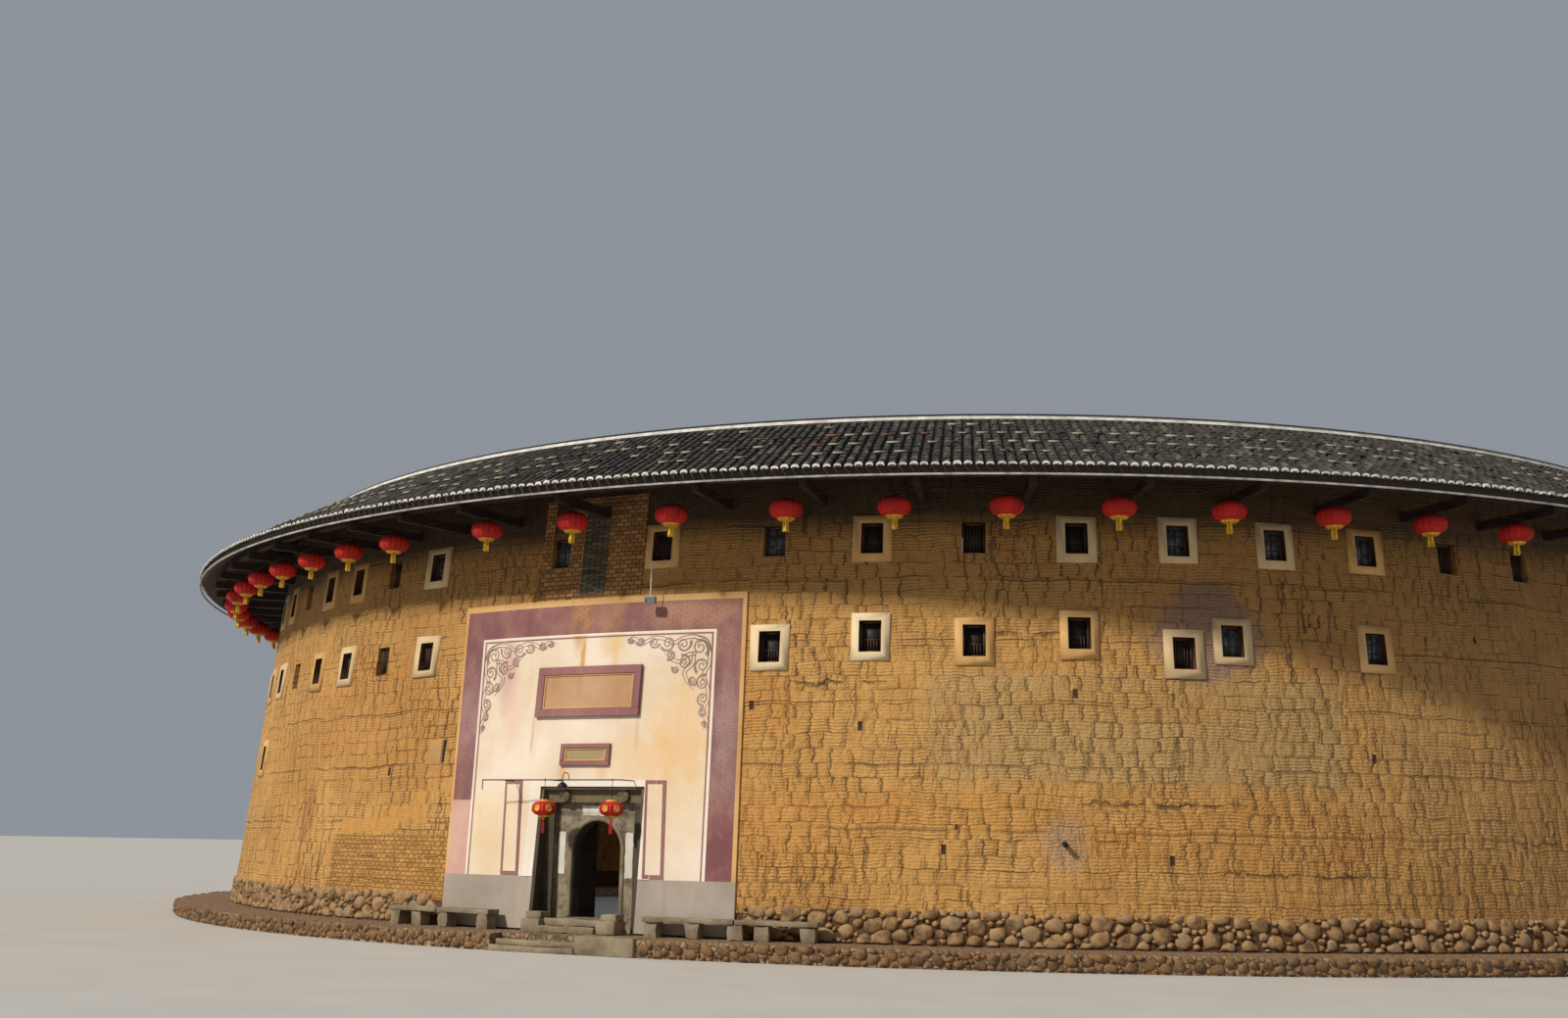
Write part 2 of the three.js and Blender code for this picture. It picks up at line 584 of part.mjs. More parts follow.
// A thin board that follows the wall's face between two heights, standing out from one depth to another.
function faceBoard({ bottom, top, from, to, inner, outer }) {
  const board = ring([
    [wallRadius(bottom) + inner, bottom],
    [wallRadius(bottom) + outer, bottom],
    [wallRadius(top) + outer, top],
    [wallRadius(top) + inner, top],
  ]);
  return board.intersect(wedge(from, to));
}

// Plaster panel round the doorway, with a name plaque and a small niche above it
function buildPanel() {
  const panel = faceBoard({
    bottom: PANEL_BOTTOM,
    top: PANEL_TOP,
    from: PANEL_LEFT,
    to: PANEL_RIGHT,
    inner: GAP,
    outer: PANEL_DEPTH,
  });
  addPiece("plaster_panel", without(panel, [doorwayCut()]), PLASTER);
  const onPanel = ({ from, to, bottom, top, depth }, inner) =>
    faceBoard({ bottom, top, from, to, inner, outer: PANEL_DEPTH + depth });
  addPiece("name_plaque", onPanel(PLAQUE, PANEL_DEPTH + GAP), SIGN);
  const border = THREE.MathUtils.radToDeg(NICHE_BORDER / wallRadius(NICHE.top));
  const hollow = {
    from: NICHE.from + border,
    to: NICHE.to - border,
    bottom: NICHE.bottom + NICHE_BORDER,
    top: NICHE.top - NICHE_BORDER,
    depth: 2 * NICHE.depth,
  };
  const cut = onPanel(hollow, PANEL_DEPTH + NICHE.depth / 2);
  addPiece("niche_frame", onPanel(NICHE, PANEL_DEPTH + GAP).subtract(cut), SIGN);
}

// A round bar along the Y axis between two places.
function barAlongY(x, z, radius, y0, y1, sides) {
  const geometry = new THREE.CylinderGeometry(radius, radius, y1 - y0, sides);
  return solidFrom(geometry.translate(x, (y0 + y1) / 2, z));
}

// Stone portal that fills the doorway: a stepped recess, two round bosses and an arch
function buildPortal() {
  const half = DOORWAY_HALF - GAP;
  const outside = -1.1 * WALL_OUTER;
  const face = -PORTAL_FACE;
  const block = box([-half, outside, TERRACE_TOP], [half, -PORTAL_BACK, DOORWAY_TOP - GAP]);
  const hollow = (step) => box([-step.half, outside, 0], [step.half, face + step.depth, step.top]);
  const spring = ARCH_TOP - ARCH_HALF;
  const passage = box([-ARCH_HALF, outside, THRESHOLD_TOP], [ARCH_HALF, -WALL_INNER, spring]);
  const arch = barAlongY(0, spring, ARCH_HALF, outside, -WALL_INNER, 24);
  const bossBack = face + RECESS.depth + BOSS_ROOT;
  const bosses = [-BOSS.x, BOSS.x].map((x) =>
    barAlongY(x, BOSS.z, BOSS.radius, face + RECESS.depth - BOSS.depth, bossBack, 12),
  );
  const frame = block.intersect(insideFace(PANEL_DEPTH));
  const portal = without(frame, [hollow(RECESS), hollow(ARCH_FACE), passage, arch]);
  addPiece("stone_portal", joined([portal, ...bosses]), DRESSED_STONE);
}

// Two steps up to the threshold, with a block at each side
function buildSteps() {
  const faceClear = -(WALL_OUTER + PANEL_DEPTH + GAP);
  const low = box(
    [-STEPS_HALF, LOWER_STEP_FRONT, TERRACE_TOP],
    [STEPS_HALF, faceClear, TERRACE_TOP + STEP_RISE],
  );
  const high = box(
    [-STEPS_HALF, UPPER_STEP_FRONT, TERRACE_TOP],
    [STEPS_HALF, -PORTAL_FACE + ARCH_FACE.depth - GAP, THRESHOLD_TOP],
  );
  const { outer, front, top } = SIDE_STONE;
  const right = box([STEPS_HALF - GAP, front, TERRACE_TOP], [outer, faceClear, top]);
  const left = box([-outer, front, TERRACE_TOP], [-STEPS_HALF + GAP, faceClear, top]);
  addPiece("door_steps", joined([low, high, right, left]), DRESSED_STONE);
}

// The space in the terrace edge that the steps and the block take.
const edgeNotch = (gap) =>
  box(
    [EDGE_STEPS.left - gap, -1.1 * TERRACE_OUTER, -TERRACE_TOP],
    [EDGE_BLOCK.right + gap, EDGE_STEPS.back + gap, 2 * TERRACE_TOP],
  );

function buildEdgeSteps() {
  const treads = EDGE_TREADS.map(({ front, top }) =>
    box([EDGE_STEPS.left, front, 0], [EDGE_STEPS.right, EDGE_STEPS.back, top]),
  );
  const block = box(
    [EDGE_STEPS.right - GAP, EDGE_BLOCK.front, 0],
    [EDGE_BLOCK.right, EDGE_STEPS.back, EDGE_BLOCK.top],
  );
  addPiece("terrace_steps", joined([...treads, block]), DRESSED_STONE);
}

function buildBenches() {
  const slabRing = ring([
    [BENCH.inner, BENCH.bottom],
    [BENCH.outer, BENCH.bottom],
    [BENCH.outer, BENCH.top],
    [BENCH.inner, BENCH.top],
  ]);
  for (const { name, from, to, blocks } of BENCHES) {
    const supports = blocks.map((azimuth) =>
      box(
        [-BENCH_BLOCK_WIDTH / 2, -BENCH.outer + BENCH_BLOCK_INSET, TERRACE_TOP],
        [BENCH_BLOCK_WIDTH / 2, -BENCH.inner - BENCH_BLOCK_INSET, (BENCH.bottom + BENCH.top) / 2],
        azimuth,
      ),
    );
    addPiece(name, joined([slabRing.intersect(wedge(from, to)), ...supports]), DRESSED_STONE);
  }
}

// Head beam behind the portal, and the two leaves that turn between it and the terrace
function buildDoor() {
  const behind = -PORTAL_BACK + GAP;
  const half = DOORWAY_HALF - GAP;
  const head = box([-half, behind, HEAD_BOTTOM], [half, behind + HEAD_DEPTH, HEAD_TOP]);
  addPiece("door_head", head, TIMBER);
  const postBottom = TERRACE_TOP + GAP;
  const postHeight = HEAD_BOTTOM - GAP - postBottom;
  for (const [name, side] of [["left_door_leaf", -1], ["right_door_leaf", 1]]) {
    const post = new THREE.CylinderGeometry(LEAF_THICKNESS / 2, LEAF_THICKNESS / 2, postHeight, 16);
    post.rotateX(Math.PI / 2).translate(0, 0, postBottom + postHeight / 2);
    const board = box(
      [-LEAF_THICKNESS / 2, 0, LEAF_BOTTOM],
      [LEAF_THICKNESS / 2, LEAF_WIDTH, LEAF_TOP],
    );
    const leaf = addPiece(name, solidFrom(post).add(board), DOOR_WOOD);
    leaf.position.set(side * HINGE_X, HINGE_Y, 0);
  }
}

// A lantern with a tassel below and a stem above
function hungLantern(middle, radius, halfHeight, stemTop) {
  const body = lanternBody(radius, halfHeight, -halfHeight, halfHeight, 8).translate(0, 0, middle);
  const tasselTop = middle - halfHeight * 0.9;
  const tassel = new THREE.CylinderGeometry(
    TASSEL.radius * 0.6,
    TASSEL.radius,
    tasselTop - TASSEL.bottom,
    6,
  );
  tassel.rotateX(Math.PI / 2).translate(0, 0, (tasselTop + TASSEL.bottom) / 2);
  const half = ROD_THICKNESS / 2;
  const stem = box([-half, -half, middle], [half, half, stemTop]);
  return joined([solidFrom(body), solidFrom(tassel), stem]);
}

function buildRodAndLanterns() {
  const half = ROD_THICKNESS / 2;
  const rod = box([ROD.left, ROD.y - half, ROD.z - half], [ROD.right, ROD.y + half, ROD.z + half]);
  const brackets = ROD_BRACKETS.map((x) =>
    box([x - half, ROD.y - half, ROD.z - half], [x + half, -PORTAL_BACK, ROD.z + half]),
  );
  const drop = box(
    [ROD.left, ROD.y - half, ROD.z - ROD_DROP],
    [ROD.left + ROD_THICKNESS, ROD.y + half, ROD.z + half],
  );
  const lampMiddle = ROD.z - LAMP.height;
  const shade = new THREE.CylinderGeometry(LAMP.radius * 0.25, LAMP.radius, LAMP.height, 10);
  shade.rotateX(Math.PI / 2).translate(LAMP.x, ROD.y - LAMP.reach, lampMiddle);
  const arm = box(
    [LAMP.x - half, ROD.y - LAMP.reach - half, lampMiddle],
    [LAMP.x + half, ROD.y - LAMP.reach + half, ROD.z + half],
  );
  const reach = box(
    [LAMP.x - half, ROD.y - LAMP.reach - half, ROD.z - half],
    [LAMP.x + half, ROD.y, ROD.z + half],
  );
  const iron = joined([rod, drop, ...brackets, solidFrom(shade), arm, reach]);
  addPiece("lantern_rod", iron.subtract(insideFace(PANEL_DEPTH + GAP)), IRON);
  for (const [side, x] of Object.entries(HUNG_LANTERNS)) {
    const lantern = hungLantern(
      HUNG_LANTERN_MIDDLE,
      HUNG_LANTERN_RADIUS,
      HUNG_LANTERN_HALF_HEIGHT,
      ROD.z - half - GAP,
    );
    addPiece("entrance_lantern_" + side, lantern, RED_CLOTH).position.set(x, ROD.y, 0);
  }
}

// Floodlight over the panel, on a pole that comes out of the wall
function buildFloodlight() {
  const { x, y, bottom, top } = FLOODLIGHT;
  const half = ROD_THICKNESS / 2;
  const wide = FLOODLIGHT_HALF;
  const lamp = box([x - wide, y - wide / 2, bottom], [x + wide, y + wide / 2, top]);
  const pole = box([x - half, y - half, bottom], [x + half, y + half, FLOODLIGHT_POLE_TOP]);
  const arm = box(
    [x - half, y - half, FLOODLIGHT_POLE_TOP - ROD_THICKNESS],
    [x + half, -WALL_INNER, FLOODLIGHT_POLE_TOP],
  );
  addPiece("floodlight", joined([lamp, pole, arm]).subtract(insideFace(GAP)), IRON);
}

buildBase();
buildWall();
buildFloors();
buildGalleries();
buildRoof();
buildEaveFrames();
buildEaveLanterns();
buildPanel();
buildPortal();
buildSteps();
buildEdgeSteps();
buildBenches();
buildDoor();
buildRodAndLanterns();
buildFloodlight();

export default house;
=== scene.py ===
import math

import bmesh
import bpy
import numpy as np
from mathutils import Matrix, Vector, noise


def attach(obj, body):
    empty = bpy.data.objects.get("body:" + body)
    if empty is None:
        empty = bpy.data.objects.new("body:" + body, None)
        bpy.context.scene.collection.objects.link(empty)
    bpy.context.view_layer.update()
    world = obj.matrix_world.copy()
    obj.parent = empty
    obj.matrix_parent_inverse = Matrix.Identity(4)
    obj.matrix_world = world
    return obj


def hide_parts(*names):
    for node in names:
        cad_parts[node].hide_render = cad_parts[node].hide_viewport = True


# Tulou roundhouse at 1:2. Sizes below are metres of the real house, and HALF brings them to the model.
# Azimuth is in degrees round the ring's axis: 0 at the doorway (-Y), growing towards +X.
HALF = 0.5
TURN, QUARTER_TURN = 360, 90

TERRACE_TOP, FOOTING_TOP = 0.45, 1.3
TERRACE_OUTER, NOTCH_RADIUS, TERRACE_INNER = 33.4, 32.8, 25.0
STEPS_LEFT, STEPS_RIGHT = -2.76, 5.17
WALL_OUTER, WALL_INNER, WALL_BATTER, WALL_HEAD = 31.3, 29.4, 0.09, 14.0
FACE_RADIUS = 31.0
# Radii at which the doorway's sides are set out on the wall and on the footing
DOOR_RADIUS_WALL, DOOR_RADIUS_FOOTING = 31.05, 31.2
ROOF_PITCH, EAVE_UNDER = 0.5, 12.6
OUTER_EAVE, RIDGE_RADIUS, INNER_EAVE = 33.6, 29.2, 24.6
ROOF_EDGE = OUTER_EAVE - 0.05
RIDGE_UNDER = EAVE_UNDER + (OUTER_EAVE - RIDGE_RADIUS) * ROOF_PITCH
# Heights over the rafters: underside of the slope, its upper side at the eave and at the ridge
BOARDS, TOP_AT_EAVE, TOP_AT_RIDGE = 0.09, 0.27, 0.43
RIDGE_TOP = 15.39
TILE_SPACING, TILE_COURSES, COURTYARD_COURSES = 0.29, 14, 12
TILE_ROWS = round(2 * math.pi * OUTER_EAVE / TILE_SPACING / 4) * 4
COURTYARD_ROWS = TILE_ROWS - 160
RAFTER_SPACING = 0.42

ENTRANCE_RIGHT, ENTRANCE_LEFT = 7.06, -7.0
ROOMS_RIGHT, ROOMS_LEFT = 32, 38
ROOM_RIGHT = (TURN / 2 - ENTRANCE_RIGHT) / ROOMS_RIGHT
ROOM_LEFT = (TURN / 2 + ENTRANCE_LEFT) / ROOMS_LEFT
WINDOW_WIDTH, WINDOW_HEIGHT = 0.66, 0.92
WINDOWS_RADIUS = 30.55
WINDOW_ANGLE = math.degrees(WINDOW_WIDTH / 2 / WINDOWS_RADIUS)
SECOND_MIDDLE, THIRD_MIDDLE, FOURTH_MIDDLE = 5.8, 8.62, 11.53
# Third storey right of the entrance: rooms without a window, and how much higher the first windows sit
NO_THIRD_STOREY_WINDOW = (6, 8, 9)
THIRD_STOREY_LIFTS = [-0.18, 0.09, -0.03, 0.21, -0.28, 0, 0.07]
NARROW_ROOM_WINDOW, NARROW_ROOM_LIFT = 34, 0.1
DOORWAY_HALF, DOORWAY_TOP = 1.75, 4.5
PANEL_DEPTH = 0.06
ROD_Y, ROD_Z, LANTERNS_X = -31.65, 4.66, (-1.15, 1.12)
STRING_RADIUS, STRING_Z = 32.1, 12.485

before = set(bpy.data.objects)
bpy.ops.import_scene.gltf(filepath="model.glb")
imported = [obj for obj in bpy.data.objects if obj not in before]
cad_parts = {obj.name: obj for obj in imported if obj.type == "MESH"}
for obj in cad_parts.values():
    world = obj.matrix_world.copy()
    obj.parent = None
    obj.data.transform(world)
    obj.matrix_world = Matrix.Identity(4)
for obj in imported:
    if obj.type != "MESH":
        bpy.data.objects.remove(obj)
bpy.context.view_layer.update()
rng = np.random.default_rng(7)


def wall_radius(z):
    """Radius of the wall's outer face, which leans inwards as it rises."""
    return WALL_OUTER - WALL_BATTER * (z - TERRACE_TOP)


def outer_under(r):
    """Height of the underside of the outer slope."""
    return EAVE_UNDER + (OUTER_EAVE - r) * ROOF_PITCH


def inner_under(r):
    """Height of the underside of the courtyard's slope."""
    return RIDGE_UNDER - (RIDGE_RADIUS - r) * ROOF_PITCH


def degrees_along(metres, radius=FACE_RADIUS):
    return math.degrees(metres / radius)


def doorway_edge(radius):
    """Azimuth of the doorway's right side at a radius."""
    return math.degrees(math.asin(DOORWAY_HALF / radius))


def divided(marks, longest):
    """The marks of a line with even steps between them, none over the longest."""
    steps = [marks[0]]
    for a, b in zip(marks[:-1], marks[1:]):
        parts = max(1, math.ceil((b - a) / longest))
        steps += [a + (b - a) * (i + 1) / parts for i in range(parts)]
    return steps


# Shapes
BLOCK_FACES = [(0, 3, 2, 1), (4, 5, 6, 7), (0, 1, 5, 4), (1, 2, 6, 5), (2, 3, 7, 6), (3, 0, 4, 7)]


def turn(points, azimuths):
    """A form turned to each azimuth. points is (n, 3), or (copies, n, 3)."""
    points = np.asarray(points, float)
    if points.ndim == 2:
        points = points[None]
    a = np.radians(np.atleast_1d(np.asarray(azimuths, float)))[:, None]
    x, y, z = points[..., 0], points[..., 1], points[..., 2]
    return np.stack([x * np.cos(a) - y * np.sin(a), x * np.sin(a) + y * np.cos(a), z + 0 * a], -1)


def on_ring(azimuth, radius, z):
    """Places on the ring, as x, y and z."""
    a = np.radians(azimuth)
    return np.stack(np.broadcast_arrays(radius * np.sin(a), -radius * np.cos(a), z), -1)


def circle(centre, radius, count, axis):
    """A closed upright ring of points that runs along x (axis 0) or y (axis 1)."""
    a = np.linspace(0, 2 * math.pi, count)
    ring = np.tile(np.asarray(centre, float), (count, 1))
    ring[:, axis] += radius * np.cos(a)
    ring[:, 2] += radius * np.sin(a)
    return ring


def oblong(left, right, low, high):
    """Corners of a rectangle, round from the left one below."""
    return [(left, low), (right, low), (right, high), (left, high)]


def block(x0, x1, y0, y1, z0, z1):
    return np.array([(x, y, z) for z in (z0, z1) for x, y in oblong(x0, x1, y0, y1)], float)


def grid_faces(rows, columns, wrap=False):
    """Faces of a grid of points, row after row. With wrap the last column meets the first."""
    i, j = np.meshgrid(np.arange(rows - 1), np.arange(columns if wrap else columns - 1), indexing="ij")
    k = (j + 1) % columns
    corners = [i * columns + j, i * columns + k, (i + 1) * columns + k, (i + 1) * columns + j]
    return np.stack(corners, -1).reshape(-1, 4)


def lathe(profile, sides, at=(0, 0, 0)):
    """A form turned round an upright axis, from [radius, height] points, bottom to top."""
    r, z = np.asarray(profile, float).T[:, :, None]
    angle = np.arange(sides) * 2 * np.pi / sides
    points = np.stack([r * np.cos(angle), r * np.sin(angle), z + 0 * angle], -1) + np.asarray(at)
    return points.reshape(-1, 3), grid_faces(len(profile), sides, wrap=True)


class Shape:
    """Corners and faces of one piece in real metres, with a material number for each face."""

    def __init__(self):
        self.points, self.faces, self.count = [], [], 0

    def add(self, points, *groups, mark=0):
        points = np.asarray(points, float).reshape(-1, 3)
        for faces in groups:
            faces = np.asarray(faces, int)
            if faces.size:
                self.faces.append((faces + self.count, mark))
        self.points.append(points)
        self.count += len(points)

    def copies(self, points, azimuths, *groups, mark=0):
        turned = turn(points, azimuths)
        k, n = turned.shape[:2]
        step = (np.arange(k) * n)[:, None, None]
        spread = [(np.asarray(g, int)[None] + step).reshape(-1, np.shape(g)[1]) for g in groups if len(g)]
        self.add(turned, *spread, mark=mark)

    def block(self, x, y, z, mark=0, azimuth=0.0):
        self.copies(block(*x, *y, *z), [azimuth], BLOCK_FACES, mark=mark)

    def tube(self, path, radius, sides=8, mark=0, ends=True):
        """A round bar along a path."""
        path = np.asarray(path, float)
        along = np.gradient(path, axis=0)
        along /= np.linalg.norm(along, axis=1)[:, None]
        angle = np.arange(sides) * 2 * np.pi / sides
        side = np.cross(along[0], (0.0, 0.3, 1.0))
        rings = []
        for point, direction in zip(path, along):
            side = side - direction * np.dot(side, direction)
            side /= np.linalg.norm(side)
            other = np.cross(direction, side)
            rings.append(point + radius * (np.cos(angle)[:, None] * side + np.sin(angle)[:, None] * other))
        groups = [grid_faces(len(path), sides, wrap=True)]
        if ends:
            last = (len(path) - 1) * sides
            groups.append([tuple(range(sides))[::-1], tuple(range(last, last + sides))])
        self.add(np.concatenate(rings), *groups, mark=mark)

    def band(self, profile, start=0, end=TURN, step=1.0, mark=0):
        """A length of ring from a closed profile of [radius, height] points."""
        profile = np.asarray(profile, float)
        whole = end - start >= TURN
        count = max(1, math.ceil((end - start) / step))
        azimuths = start + (end - start) * np.arange(count if whole else count + 1) / count
        rows = on_ring(azimuths[:, None], profile[None, :, 0], profile[None, :, 1])
        n = len(profile)
        i, j = np.meshgrid(np.arange(count), np.arange(n), indexing="ij")
        following, k = (i + 1) % len(azimuths), (j + 1) % n
        groups = [np.stack([i * n + j, following * n + j, following * n + k, i * n + k], -1).reshape(-1, 4)]
        if not whole:
            groups += [[tuple(range(n))], [tuple(range(count * n, count * n + n))[::-1]]]
        self.add(rows, *groups, mark=mark)

    def sheet(self, sides, heights, lift, thick, mark=0, step=1.0, upper_sides=None):
        """A thin sheet on the wall's face between two azimuths. With upper_sides its sides slant."""
        (left0, right0), (left1, right1) = sides, upper_sides or sides
        rows = max(2, math.ceil((heights[1] - heights[0]) / 0.6) + 1)
        columns = max(2, math.ceil((max(right0, right1) - min(left0, left1)) / step) + 1)
        t = np.linspace(0, 1, rows)[:, None]
        z = heights[0] + (heights[1] - heights[0]) * t + np.zeros(columns)
        left, right = left0 + (left1 - left0) * t, right0 + (right1 - right0) * t
        azimuth = left + (right - left) * np.linspace(0, 1, columns)
        front = on_ring(azimuth, wall_radius(z) + lift + thick, z).reshape(-1, 3)
        back = on_ring(azimuth, wall_radius(z) + lift, z).reshape(-1, 3)
        n = rows * columns
        grid = np.arange(n).reshape(rows, columns)
        ring = np.concatenate([grid[:, 0], grid[-1, 1:], grid[-2::-1, -1], grid[0, -2:0:-1]])
        after = np.roll(ring, -1)
        rim = np.stack([ring, after, after + n, ring + n], -1)
        self.add(np.concatenate([front, back]), grid_faces(rows, columns), rim, mark=mark)


def make(name, shape, materials, nodes=(), body="house", smooth=30, mend=True, bevel=0):
    """A piece in model metres that rides on a body, stands for the given nodes and takes a slot's finish."""
    mesh = bpy.data.meshes.new(name)
    points = np.concatenate(shape.points) * HALF
    sizes = np.concatenate([np.full(len(f), f.shape[1]) for f, _ in shape.faces])
    marks = np.concatenate([np.full(len(f), mark) for f, mark in shape.faces])
    mesh.vertices.add(len(points))
    mesh.vertices.foreach_set("co", points.ravel())
    mesh.loops.add(sizes.sum())
    mesh.loops.foreach_set("vertex_index", np.concatenate([f.ravel() for f, _ in shape.faces]))
    mesh.polygons.add(len(sizes))
    mesh.polygons.foreach_set("loop_start", np.cumsum(sizes) - sizes)
    mesh.polygons.foreach_set("material_index", marks)
    mesh.update(calc_edges=True)
    mesh.validate()
    if mend:
        work = bmesh.new()
        work.from_mesh(mesh)
        bmesh.ops.recalc_face_normals(work, faces=work.faces)
        work.to_mesh(mesh)
        work.free()
    for material in materials:
        mesh.materials.append(material)
    if smooth:
        mesh.polygons.foreach_set("use_smooth", np.ones(len(mesh.polygons), bool))
        mesh.set_sharp_from_angle(angle=math.radians(smooth))
    piece = bpy.data.objects.new(name, mesh)
    bpy.context.scene.collection.objects.link(piece)
    if bevel:
        round_edges = piece.modifiers.new("rounded edges", "BEVEL")
        round_edges.width = bevel * HALF
        round_edges.segments = 2
        round_edges.limit_method = "ANGLE"
    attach(piece, body)
    if nodes:
        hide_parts(*nodes)


# Materials
def paint(hex_code):
    """A colour as seen on a screen, brought to the numbers that light is reckoned in."""
    values = [int(hex_code[i : i + 2], 16) / 255 for i in (0, 2, 4)]
    return [v / 12.92 if v <= 0.04045 else ((v + 0.055) / 1.055) ** 2.4 for v in values] + [1.0]


def reckon(operation):
    return lambda value, *others: value.finish.math(operation, value, *others)


class Value:
    """A number that a finish has at each place, to be reckoned with like a plain one."""

    def __init__(self, finish, socket):
        self.finish, self.socket = finish, socket

    __add__, __sub__, __mul__, __truediv__ = map(reckon, ("ADD", "SUBTRACT", "MULTIPLY", "DIVIDE"))
    __pow__, __abs__, floor, fract = map(reckon, ("POWER", "ABSOLUTE", "FLOOR", "FRACT"))

    def __rsub__(self, other):
        return self.finish.math("SUBTRACT", other, self)

    def between(self, low, high, to_low=0.0, to_high=1.0):
        """Brings one range of the value to another, and holds it there."""
        return self.finish.made("ShaderNodeMapRange", (self, low, high, to_low, to_high))

    def inside(self, low, high, soft=0.03):
        """1 where the value lies between two limits, falling to 0 past them."""
        return self.between(low - soft, low + soft) * self.between(high - soft, high + soft, 1.0, 0.0)


class Finish:
    """A material built from nodes. Coordinates are in metres of the real house."""

    def __init__(self, name):
        self.material = bpy.data.materials.new(name)
        self.material.use_nodes = True
        self.nodes = self.material.node_tree.nodes
        self.nodes.clear()
        self.links = self.material.node_tree.links
        out = self.nodes.new("ShaderNodeOutputMaterial")
        self.shader = self.nodes.new("ShaderNodeBsdfPrincipled")
        self.links.new(self.shader.outputs[0], out.inputs[0])
        place = self.nodes.new("ShaderNodeTexCoord").outputs["Object"]
        scale = self.nodes.new("ShaderNodeVectorMath")
        scale.operation = "SCALE"
        self.links.new(place, scale.inputs[0])
        scale.inputs["Scale"].default_value = 1 / HALF
        self.at = Value(self, scale.outputs[0])
        split = self.nodes.new("ShaderNodeSeparateXYZ")
        self.put(split.inputs[0], self.at)
        self.x, self.y, self.z = [Value(self, socket) for socket in split.outputs]

    def put(self, socket, value):
        if isinstance(value, Value):
            self.links.new(value.socket, socket)
        else:
            socket.default_value = paint(value) if isinstance(value, str) else value

    def made(self, kind, values, output=0, **settings):
        """What a new node of a kind gives. values go to its inputs, by order or by name."""
        node = self.nodes.new(kind)
        for key, value in settings.items():
            setattr(node, key, value)
        for key, value in values.items() if isinstance(values, dict) else enumerate(values):
            self.put(node.inputs[key], value)
        return Value(self, node.outputs[output])

    def math(self, operation, a, b=0.0, c=0.0):
        return self.made("ShaderNodeMath", (a, b, c), operation=operation)

    def blend(self, share, a, b):
        """a where share is 0, b where it is 1."""
        return self.math("MULTIPLY_ADD", b - a, share, a)

    def either(self, *values):
        most = values[0]
        for value in values[1:]:
            most = self.math("MAXIMUM", most, value)
        return most

    def vector(self, x=0.0, y=0.0, z=0.0):
        return self.made("ShaderNodeCombineXYZ", (x, y, z))

    def around(self, radius=FACE_RADIUS):
        """Length along the ring from the doorway, and distance from the axis."""
        azimuth = self.math("ARCTAN2", self.x, self.y * -1.0)
        return azimuth * radius, self.math("SQRT", self.x**2.0 + self.y**2.0)

    def noise(self, scale, detail=4.0, rough=0.55, twist=0.0, at=None):
        names = ("Vector", "Scale", "Detail", "Roughness", "Distortion")
        values = (at or self.at, scale, detail, rough, twist)
        return self.made("ShaderNodeTexNoise", dict(zip(names, values)))

    def cells(self, at, scale, feature, output):
        return self.made("ShaderNodeTexVoronoi", {"Vector": at, "Scale": scale}, output, feature=feature)

    def splits(self, along):
        """Distance to the nearest of uneven marks along a line."""
        kind = {"feature": "DISTANCE_TO_EDGE", "voronoi_dimensions": "1D"}
        return self.made("ShaderNodeTexVoronoi", {"W": along, "Scale": 1.0}, "Distance", **kind)

    def chance(self, at):
        return self.made("ShaderNodeTexWhiteNoise", {"Vector": at}, "Value", noise_dimensions="3D")

    def blotch(self, arc, ragged, middle, half, soft=0.2):
        """1 inside an uneven round patch of the wall, falling to 0 past its edge."""
        across = (arc - middle[0]) / half[0]
        upward = (self.z - middle[1]) / half[1]
        reach = self.math("SQRT", across * across + upward * upward)
        return (reach + ragged).between(1 + soft, 1 - soft)

    def field(self, arc, z, left, right, low, high, soft=0.05):
        """1 inside an upright rectangle of the wall."""
        return arc.inside(left, right, soft) * z.inside(low, high, soft)

    def small_bricks(self, arc, length=0.27, height=0.13):
        """Where a place lies on its brick's face, 0 to 1, and a number that each brick has of its own."""
        rows = self.z / height
        row = rows.floor()
        shifted = arc / length + row * 0.5
        side = abs(shifted.fract() - 0.5)
        level = abs(rows.fract() - 0.5)
        face = side.between(0.46, 0.4) * level.between(0.45, 0.36)
        return face, self.chance(self.vector(shifted.floor(), row))

    def ramp(self, value, places, tones):
        """Colours along a value: a tone at each of the places, blended between them."""
        result = self.made("ShaderNodeValToRGB", (value,))
        elements = result.socket.node.color_ramp.elements
        while len(elements) < len(places):
            elements.new(0.5)
        for element, position, tone in zip(elements, places, tones):
            element.position = position
            element.color = paint(tone)
        return result

    def mix(self, share, a, b):
        values = {0: share, 6: a, 7: b}
        return self.made("ShaderNodeMix", values, 2, data_type="RGBA", blend_type="MIX")

    def tint(self, share, colour):
        """Lays a colour over what the finish has so far."""
        self.colour = self.mix(share, self.colour, colour)

    def done(self, rough, height=None, distance=0.01, **sockets):
        values = {"Base Color": self.colour, "Roughness": rough, **sockets}
        if height:
            bump = {"Height": height, "Distance": distance * HALF, "Strength": 1.0}
            values["Normal"] = self.made("ShaderNodeBump", bump)
        for key, value in values.items():
            self.put(self.shader.inputs[key], value)
        return self.material


